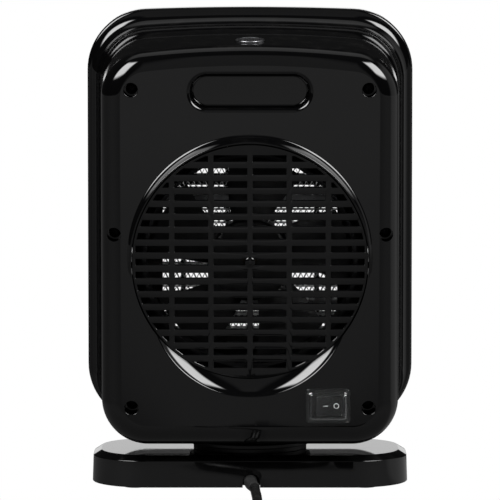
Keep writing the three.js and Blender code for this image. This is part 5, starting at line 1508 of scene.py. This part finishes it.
@dataclass
class Base:
    """The low oval base and the swivel on it."""

    corner: float = 34 * MM
    drop: float = 3.1 * MM
    bevel: float = 5.4 * MM
    wall: float = 2.2 * MM
    draft: float = 0.5 * MM
    notch: tuple[float, float] = (10.2 * MM, 9.2 * MM)
    notch_x: float = -0.8 * MM

    def build(self) -> None:
        """Makes the cover, the turntable ring and the skirt."""
        low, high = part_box("base_cover")

        def outline(distance: float) -> Array:
            return corner_ring(high.x - distance, high.y - distance, self.corner - distance, 28)

        shoulder = high.z - self.drop
        slope = math.atan2(self.drop, self.bevel)
        soft = 0.6 * MM
        turn = np.linspace(0, math.pi / 2 - slope, 5)
        edge = [(self.draft + soft * (1 - math.cos(t)), shoulder - soft * 0.4 + soft * math.sin(t) * 0.9)
                for t in turn]
        inner = [(self.bevel + self.wall / 2, high.z - self.wall), (self.wall, shoulder - self.wall / 2),
                 (self.wall, low.z)]
        rim = [(0.35 * MM, low.z), (0.0, low.z + 0.35 * MM)]
        top = [(self.bevel - 0.5 * MM, high.z - 0.29 * MM), (self.bevel - 0.15 * MM, high.z - 0.1 * MM),
               (self.bevel + 0.25 * MM, high.z)]
        rings = plate_rings(outline, [*inner, *rim, *edge, *top], "z")
        piece = Skin().loft(rings).piece("base_shell")
        worked(piece, self.notch_tool(high.y), Join.CUT)
        post = Skin().turned(np.array([[10 * MM, 0.0], [10 * MM, high.z + MM]]), (0, 0, 0), "z", 64)
        worked(piece, post, Join.CUT)
        settle(eased(piece), "base", BASE_BLACK, "base_cover")
        self.swivel()

    def notch_tool(self, wall: float) -> Skin:
        """The arch that the cord leaves by: straight sides under a half circle."""
        width, height = self.notch
        radius = width / 2
        angle = np.linspace(0, math.pi, 33)
        x = np.concatenate([radius * np.cos(angle), [-radius, radius]]) + self.notch_x
        z = np.concatenate([height - radius + radius * np.sin(angle), [-MM, -MM]])
        rings = [np.stack([x, np.full(len(x), y), z], axis=1) for y in (wall - 3 * self.wall, wall + MM)]
        return Skin().loft(np.stack(rings))

    def swivel(self) -> None:
        """The fixed ring and the skirt that turns on it, both turned shapes."""
        low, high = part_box("turntable_ring")
        inner = 30.4 * MM
        edge = quarter(0.4 * MM, 4)
        rows = [[inner, low.z], [high.x, low.z]]
        rows += [[high.x - drawn, high.z - 0.4 * MM + along] for drawn, along in edge]
        rows += [[inner + 0.4 * MM - along, high.z - drawn] for drawn, along in edge]
        rows += [[inner, low.z]]
        ring = Skin().turned(np.array(rows), (0, 0, 0), "z", 160).piece("swivel_ring")
        settle(eased(ring), "base", SATIN_BLACK, "turntable_ring")
        low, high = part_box("swivel_skirt")
        post, web, rim_top = 10.3 * MM, 24 * MM, low.z + 2.4 * MM
        floor = high.z - 2.4 * MM
        rows = [[post, floor], [inner, floor], [inner, low.z], [high.x - 0.3 * MM, low.z],
                [high.x, low.z + 0.3 * MM], [high.x, rim_top - 0.6 * MM]]
        rows += [[high.x - drawn, rim_top - 0.6 * MM + along] for drawn, along in quarter(0.6 * MM, 4)[1:]]
        rows += [[web, high.z], [post, high.z], [post, floor]]
        skirt = Skin().turned(np.array(rows), (0, 0, 0), "z", 160).piece("swivel_collar")
        pinion_low, pinion_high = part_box("swing_pinion")
        centre = (0, (pinion_low.y + pinion_high.y) / 2, 0)
        shaft_hole = np.array([[3.1 * MM, 0.0], [3.1 * MM, high.z + MM]])
        worked(skirt, Skin().turned(shaft_hole, centre, "z", 32), Join.CUT)
        settle(eased(skirt), "heater_body", SATIN_BLACK, "swivel_skirt")


# ---------------------------------------------------------------- the lead


@dataclass
class Lead:
    """The mains lead: its strain relief, the free run, the stored coil, its tie and the plug."""

    diameter: float = 5.8 * MM
    exit: tuple[float, float, float] = (-0.3 * MM, 43.7 * MM, 4.7 * MM)
    root: float = 3.9 * MM
    tip: float = 3.3 * MM
    coil_x: float = -8 * MM
    coil_y: float = 250 * MM
    coil_radius: float = 34.6 * MM
    run: tuple[tuple[float, float, float], ...] = (
        (-2.6, 63, 3.9), (-3.2, 74, 3.1), (-3.6, 85, 3), (-4, 98, 3), (-4, 112, 3),
        (-2.4, 127, 3), (1.4, 142, 3), (6.6, 156, 3), (13, 170, 3), (20, 183, 3),
        (26, 196, 3), (30.2, 210, 3), (32.1, 224.5, 3),
    )
    tail: tuple[tuple[float, float, float], ...] = (
        (-32, 290.4, 7.2), (-40.5, 289.7, 5.2), (-50, 286.6, 3.9), (-58.6, 281, 4.3), (-64.2, 272.4, 6.8),
        (-65, 263, 8.2),
    )

    def coil(self) -> Array:
        """The coil's centre line: three turns inwards on the floor, then three outwards on top.

        The angle grows steadily. The radius steps by a diameter once in each turn, along a smooth
        ramp, and the height steps once, where the lower layer ends. The ramps of the two layers and
        of the climb come one after another, so that turns pass a diameter apart.

        Returns:
            Rows of points, from the side the run arrives at to the side the tail leaves.
        """

        def ramp(angle: Array, start: float, end: float) -> Array:
            share = np.clip((angle - start) / (end - start), 0, 1)
            return share * share * (3 - 2 * share)

        angle = np.arange(0, 1890.1, 6.0)
        steps = np.zeros_like(angle)
        for turn in range(2):
            steps += ramp(angle, 240 + 360 * turn, 300 + 360 * turn)
            steps -= ramp(angle, 1260 + 360 * turn, 1320 + 360 * turn)
        radius = self.coil_radius + self.diameter * (1 - steps)
        height = self.diameter / 2 + 0.1 * MM + self.diameter * ramp(angle, 930, 990)
        turned = np.radians(angle)
        x = self.coil_x + radius * np.cos(turned)
        y = self.coil_y + radius * np.sin(turned)
        return np.stack([x, y, height], axis=1)

    def route(self) -> Array:
        """The whole centre line, from just inside the strain relief to the plug."""
        start = np.array(self.exit)
        first = start + np.array([[0, 1.5, 0], [0, 6, 0], [-0.7, 12, -0.25]]) * MM
        run = np.array(self.run) * MM
        coil = self.coil()
        tail = np.array(self.tail) * MM
        return smooth_path(np.vstack([first, run, coil, tail]), 3 * MM)

    def build(self) -> None:
        line = self.route()
        sides = 20
        radius = np.full(len(line), self.diameter / 2)
        skin = Skin().loft(tube_rings(line, radius, sides))
        cord = skin.piece("mains_cord")
        self.chart(cord, len(line), sides)
        settle(eased(cord, 60.0), "base", CORD_BLACK, "power_cord", "cord_coil", "cord_tail")
        relief = self.relief(line)
        tie = self.tie()
        plug = self.plug()
        blades = [self.blade(number) for number in (1, 2)]
        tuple(self.exit)

    def chart(self, cord: Piece, rows: int, sides: int) -> None:
        """Gives the cord a UV map: the first number runs along it, the second goes round it."""
        data = cord.data
        layer = data.uv_layers.new(name="along")
        corner = np.empty(len(data.loops), np.int32)
        data.loops.foreach_get("vertex_index", corner)
        around = (corner % sides) / sides
        along = (corner // sides) / rows * line_length(self.route()) / (20 * MM)
        layer.data.foreach_set("uv", np.stack([along, around], axis=1).astype(np.float32).reshape(-1))

    def relief(self, line: Array) -> Piece:
        """The strain relief: a tapered sleeve with shallow rings, bent along the cord."""
        start = np.array(self.exit)
        inside = start - np.array([0, 6 * MM, 0])
        reach = line[np.linalg.norm(line - start, axis=1).argmin():]
        along = np.concatenate([[0], np.cumsum(np.linalg.norm(np.diff(reach, axis=0), axis=1))])
        reach = reach[along < 19.5 * MM]
        path = even_steps(np.vstack([inside, reach]), 0.5 * MM)
        share = np.linspace(0, 1, len(path))
        radius = self.root + (self.tip - self.root) * np.clip((share - 0.25) / 0.75, 0, 1)
        groove = 0.16 * MM * np.clip(np.sin(share * 2 * math.pi * 9), 0, 1) * (share > 0.36) * (share < 0.94)
        radius = radius - groove
        radius[-1] -= 0.25 * MM
        skin = Skin().loft(tube_rings(path, radius, 32))
        return settle(eased(skin.piece("strain_relief"), 50.0), "base", GLAND_RUBBER,
                      "cord_gland")

    def tie(self) -> Piece:
        """The strap round the coil: a rounded loop of even thickness."""
        low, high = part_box("cord_tie")
        middle = ((low.y + high.y) / 2, (low.z + high.z) / 2)
        half = ((high.y - low.y) / 2, (high.z - low.z) / 2)
        edge = 0.25 * MM
        stations = [(0.0, low.x + edge), (0.0, high.x - edge), (edge, high.x), (1.0 * MM, high.x),
                    (1.1 * MM, high.x - edge), (1.1 * MM, low.x + edge), (1.0 * MM, low.x), (edge, low.x)]
        rings = []
        for drawn, x in stations:
            flat = corner_ring(half[0] - drawn, half[1] - drawn, 3 * MM - drawn, 10)
            across, up = flat[:, 0] + middle[0], flat[:, 1] + middle[1]
            rings.append(np.stack([np.full(len(flat), x), across, up], axis=1))
        skin = Skin().loft(np.stack(rings), closed=True)
        return settle(eased(skin.piece("coil_strap")), "base", SATIN_BLACK, "cord_tie")

    def plug(self) -> Piece:
        """The plug: a moulded grip that narrows to a ribbed neck."""
        low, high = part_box("plug_body")
        x = (low.x + high.x) / 2
        z = (low.z + high.z) / 2
        half_x, half_z = (high.x - low.x) / 2, (high.z - low.z) / 2
        face = low.y
        depth = high.y - 9 * MM - face
        rows = [(1.2, 0.0), (0.4, 0.35), (0.0, 1.2), (0.0, 12.0), (0.35, 16.0), (1.0, 20.0),
                (1.2, 23.0), (1.0, 26.0), (1.2, 29.0), (2.6, 31.0), (5.0, depth / MM)]
        rings = []
        for drawn, along in rows:
            flat = corner_ring(half_x - drawn * MM, half_z - drawn * MM, (4.6 - 0.5 * drawn) * MM, 8)
            along_y = np.full(len(flat), face + along * MM)
            rings.append(np.stack([flat[:, 0] + x, along_y, flat[:, 1] + z], axis=1))
        piece = Skin().loft(np.stack(rings)).piece("plug_grip")
        neck = []
        for share in np.linspace(0, 1, 41):
            ridge = 0.25 * MM * (math.sin(share * 2 * math.pi * 4) > 0) * (0.15 < share < 0.95)
            neck.append([4.3 * MM - 0.9 * MM * share - ridge, high.y - 11 * MM + 11 * MM * share])
        worked(piece, Skin().turned(np.array(neck), (x, 0, z), "y", 40), Join.ADD)
        slots = Skin()
        for number in (1, 2):
            blade_low, blade_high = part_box(f"plug_blade_{number}")
            size = ((blade_high.x - blade_low.x) / 2 + GAP, (blade_high.z - blade_low.z) / 2 + GAP)
            at = ((blade_high.x + blade_low.x) / 2, z)
            slots.loft(rounded_slab(size, 0.3 * MM, 0.05 * MM, face - MM, face + 6 * MM, at))
        worked(piece, slots, Join.CUT)
        return settle(eased(piece), "base", PLUG_BLACK, "plug_body")

    def blade(self, number: int) -> Piece:
        """A flat plug blade with a rounded tip and a hole near it."""
        low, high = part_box(f"plug_blade_{number}")
        half_y, half_z = (high.y - low.y) / 2, (high.z - low.z) / 2
        ring = corner_ring(half_y, half_z, 1.8 * MM, 8)
        rings = []
        for drawn, x in ((0.2, low.x), (0.0, low.x + 0.2 * MM), (0.0, high.x - 0.2 * MM), (0.2, high.x)):
            scale = 1 - drawn * MM / half_z
            rings.append(np.stack([np.full(len(ring), x), ring[:, 0] * scale + (low.y + high.y) / 2,
                                   ring[:, 1] * scale + (low.z + high.z) / 2], axis=1))
        piece = linked(f"blade_{number}", Skin().loft(np.stack(rings)).mesh("blade"))
        angle = np.linspace(0, 2 * math.pi, 24, endpoint=False)
        hole = [np.stack([np.full(24, x), low.y + 3.4 * MM + 1.4 * MM * np.cos(angle),
                          (low.z + high.z) / 2 + 1.4 * MM * np.sin(angle)], axis=1)
                for x in (low.x - MM, high.x + MM)]
        worked(piece, Skin().loft(np.stack(hole)), Join.CUT)
        return settle(eased(piece), "base", BRASS, f"plug_blade_{number}")


# ---------------------------------------------------------------- the works inside


@dataclass
class Fins:
    """The folded aluminium fins between the heating bars, in thin layers."""

    layers: int = 4
    folds: int = 31
    sheet: float = 0.22 * MM

    def build(self) -> None:
        """Makes each fin from flat sheets with a folded strip between every two.

        A strip follows a triangle wave of x: z = h |2 (x / p - round(x / p))|, with the pitch p and
        the layer's height h, drawn again a sheet lower to give it thickness.
        """
        for number in range(1, 6):
            low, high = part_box(f"heater_fin_{number}")
            pitch = (high.x - low.x) / self.folds
            step = (high.z - low.z) / self.layers
            x = low.x + np.arange(2 * self.folds + 1) * pitch / 2
            wave = (np.arange(len(x)) % 2) * (step - 2 * self.sheet)
            skin = Skin()
            for layer in range(self.layers):
                base = low.z + layer * step
                centre = (0.0, base + self.sheet / 2)
                half = (high.x, self.sheet / 2)
                skin.loft(rounded_slab(half, 0.08 * MM, 0.04 * MM, low.y, high.y, centre))
                edge_x = np.concatenate([x, x[::-1]])
                edge_z = base + self.sheet + np.concatenate([wave, wave[::-1] + self.sheet])
                rings = [np.stack([edge_x, np.full(len(edge_x), y), edge_z], axis=1) for y in (low.y, high.y)]
                skin.loft(np.stack(rings))
            piece = linked(f"folded_fin_{number}", skin.mesh("folded_fin"))
            settle(eased(piece), "heater_body", FIN_METAL, f"heater_fin_{number}")


@dataclass(frozen=True)
class Works:
    """The pieces inside and underneath that keep their frame shapes, each with its finish."""

    finishes: tuple[tuple[Finish, tuple[str, ...]], ...] = (
        (SATIN_BLACK, ("base_plate", "pivot_post")),
        (FOOT_RUBBER, tuple(f"rubber_foot_{n}" for n in range(1, 5))),
        (BLACK_SCREW, (*[f"base_screw_{n}" for n in range(1, 5)], "pivot_retainer", "fan_shaft")),
        (ACETAL, ("swing_gear", "swing_pinion")),
        (MOTOR_STEEL, ("swing_motor", "fan_motor", "thermal_cutout")),
        (DUCT_GREY, ("fan_duct",)),
        (FRAME_BROWN, ("heater_frame",)),
        (FIN_METAL, tuple(f"ptc_bar_{n}" for n in range(1, 5))),
        (GREEN_BOARD, ("display_board", "power_board")),
        (DARK_BRASS, ("fan_nut",)),
    )

    def dress(self, nodes: dict[str, Piece]) -> None:
        """Gives each node its material."""
        for finish, names in self.finishes:
            for name in names:
                nodes[name].data.materials.clear()
                nodes[name].data.materials.append(finish.material())


# ---------------------------------------------------------------- the studio


@dataclass(frozen=True)
class Card:
    """A bright or dim panel far round the object, by the direction it lies in, in degrees."""

    turn: float
    rise: float
    half_turn: float
    half_rise: float
    soft: float
    light: float


@dataclass
class Studio:
    """The floor, the light and the camera."""

    lens: float = 302.9
    camera_place: tuple[float, float, float] = (0.0, 2.4917, 0.3531)
    camera_pitch: float = 4.95
    floor_size: float = 60.0
    # Painted light on the floor, seen only in reflections: brighter further out, in line with the cards.
    floor_light: tuple[float, float] = (0.1, 0.2)
    floor_fade: float = 4.0
    # Painted light: a pool of glow on the floor round the heater, seen only in reflections.
    sheet_light: float = 0.08
    sheet_reach: float = 0.32
    sheet_fade: float = 0.1
    ambient: float = 0.012
    cards: tuple[Card, ...] = (
        Card(180, 3, 11, 5.4, 0.5, 1.0),
        Card(0, 20, 9, 40, 4, 0.18),
        Card(-52, 42, 20, 16, 4, 14.0),
        Card(52, 42, 20, 16, 4, 14.0),
        Card(-100, 5, 26, 40, 8, 0.35),
        Card(180, 76, 80, 18, 6, 0.45),
    )
    # Painted patches of light on the floor, toward the camera side and toward one side, where the cards'
    # light would fall.
    floor_cards: tuple[Card, Card] = (Card(0, 0, 9, 0, 4, 1.0), Card(-100, 0, 26, 0, 8, 0.28))

    def build(self) -> None:
        """Sets up the floor, the surrounding cards and the camera."""
        self.floor()
        self.surround()
        self.camera()
        bpy.context.scene.view_settings.view_transform = "Standard"

    def floor(self) -> None:
        """A wide pale floor: white where it is looked at; in the heater's shine its emission paints a pool of
        light round the heater and patches of light in line with the cards.
        """
        half = self.floor_size
        corners = np.array([[-half, -half, 0], [half, -half, 0], [half, half, 0], [-half, half, 0]], float)
        skin = Skin()
        skin.vertices, skin.faces, skin.count = [corners], [np.array([[0, 1, 2, 3]])], 4
        plane = skin.piece("floor")
        material = bpy.data.materials.new("pale floor")
        material.use_nodes = True
        graph = Graph(material.node_tree)
        shader = material.node_tree.nodes["Principled BSDF"]
        shader.inputs["Base Color"].default_value = (0.02, 0.02, 0.02, 1.0)
        shader.inputs["Roughness"].default_value = 0.9
        shader.inputs["Emission Color"].default_value = (1.0, 1.0, 1.0, 1.0)
        point = graph.place()
        far = graph.node("ShaderNodeVectorMath", operation="LENGTH")
        graph.feed(point, far.inputs[0])
        distance = far.outputs["Value"]
        parts = graph.node("ShaderNodeSeparateXYZ")
        graph.feed(point, parts.inputs[0])
        turn = graph.math("ARCTAN2", parts.outputs["X"], parts.outputs["Y"])
        # Painted pool of light on the floor round the heater, fading out past its reach.
        near = graph.ranged(distance, self.sheet_reach - self.sheet_fade, self.sheet_reach + self.sheet_fade,
                            self.sheet_light, 0.0)
        behind = graph.ranged(distance, self.sheet_reach, self.floor_fade, *self.floor_light)
        total = graph.math("ADD", near, self.ambient)
        # Painted light: the floor glows brighter in the directions of those cards.
        for card, light in ((self.floor_cards[0], behind), (self.floor_cards[1], self.floor_cards[1].light)):
            wide = self.across(graph, turn, card)
            total = graph.math("MAXIMUM", total, graph.math("MULTIPLY", wide, light))
        graph.feed(total, shader.inputs["Emission Strength"])
        glow = graph.node("ShaderNodeEmission")
        glow.inputs["Strength"].default_value = 1.0
        mix = graph.node("ShaderNodeMixShader")
        graph.feed(graph.node("ShaderNodeLightPath").outputs["Is Camera Ray"], mix.inputs[0])
        graph.feed(shader.outputs[0], mix.inputs[1])
        graph.feed(glow.outputs[0], mix.inputs[2])
        graph.feed(mix.outputs[0], material.node_tree.nodes["Material Output"].inputs[0])
        plane.data.materials.append(material)

    def across(self, graph: Graph, turn: Socket, card: Card) -> Socket:
        """How far a direction lies inside a card sideways, from 0 to 1, with soft edges."""
        off = graph.math("SUBTRACT", turn, math.radians(card.turn))
        off = graph.math("ABSOLUTE", graph.math("WRAP", off, math.pi, -math.pi))
        inner, outer = card.half_turn - card.soft, card.half_turn + card.soft
        return graph.ranged(off, math.radians(inner), math.radians(outer), 1.0, 0.0)

    def surround(self) -> None:
        """Draws the cards on the world by direction, over a dim room, with white where it is seen."""
        world = bpy.data.worlds.new("studio")
        world.use_nodes = True
        bpy.context.scene.world = world
        graph = Graph(world.node_tree)
        parts = graph.node("ShaderNodeSeparateXYZ")
        graph.feed(graph.node("ShaderNodeTexCoord").outputs["Generated"], parts.inputs[0])
        turn = graph.math("ARCTAN2", parts.outputs["X"], parts.outputs["Y"])
        rise = graph.math("ARCSINE", parts.outputs["Z"])
        total: Any = self.ambient
        for card in self.cards:
            lift = graph.math("ABSOLUTE", graph.math("SUBTRACT", rise, math.radians(card.rise)))
            wide = self.across(graph, turn, card)
            high = graph.ranged(lift, math.radians(card.half_rise - card.soft),
                                math.radians(card.half_rise + card.soft), 1.0, 0.0)
            patch = graph.math("MULTIPLY", wide, high)
            total = graph.math("ADD", total, graph.math("MULTIPLY", patch, card.light))
        seen = graph.node("ShaderNodeLightPath").outputs["Is Camera Ray"]
        strength = graph.math("MAXIMUM", total, seen)
        graph.feed(strength, world.node_tree.nodes["Background"].inputs["Strength"])
        world.node_tree.nodes["Background"].inputs["Color"].default_value = (1.0, 1.0, 1.0, 1.0)

    def camera(self) -> None:
        """Places the camera behind the heater, a little above it and looking slightly down."""
        data = bpy.data.cameras.new("camera")
        data.lens = self.lens
        data.sensor_width = 36.0
        data.clip_end = 100.0
        camera = bpy.data.objects.new("camera", data)
        camera.location = self.camera_place
        camera.rotation_euler = (math.radians(90 - self.camera_pitch), 0.0, math.pi)
        bpy.context.scene.collection.objects.link(camera)
        bpy.context.scene.camera = camera


def main() -> None:
    """Builds the heater round its frame, piece by piece."""
    logging.basicConfig(level=logging.INFO, format="%(name)s: %(message)s")
    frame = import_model()
    studio = Studio()
    studio.build()
    Lead().build()
    body = Body()
    Base().build()
    Housing(body).build()
    cover = RearCover(body)
    cover.build()
    cover.intake.build()
    Fan().build()
    Fins().build()
    MainSwitch(body).build()
    Front(body).build()
    Works().dress(frame["nodes"])


if __name__ == "__main__":
    main()
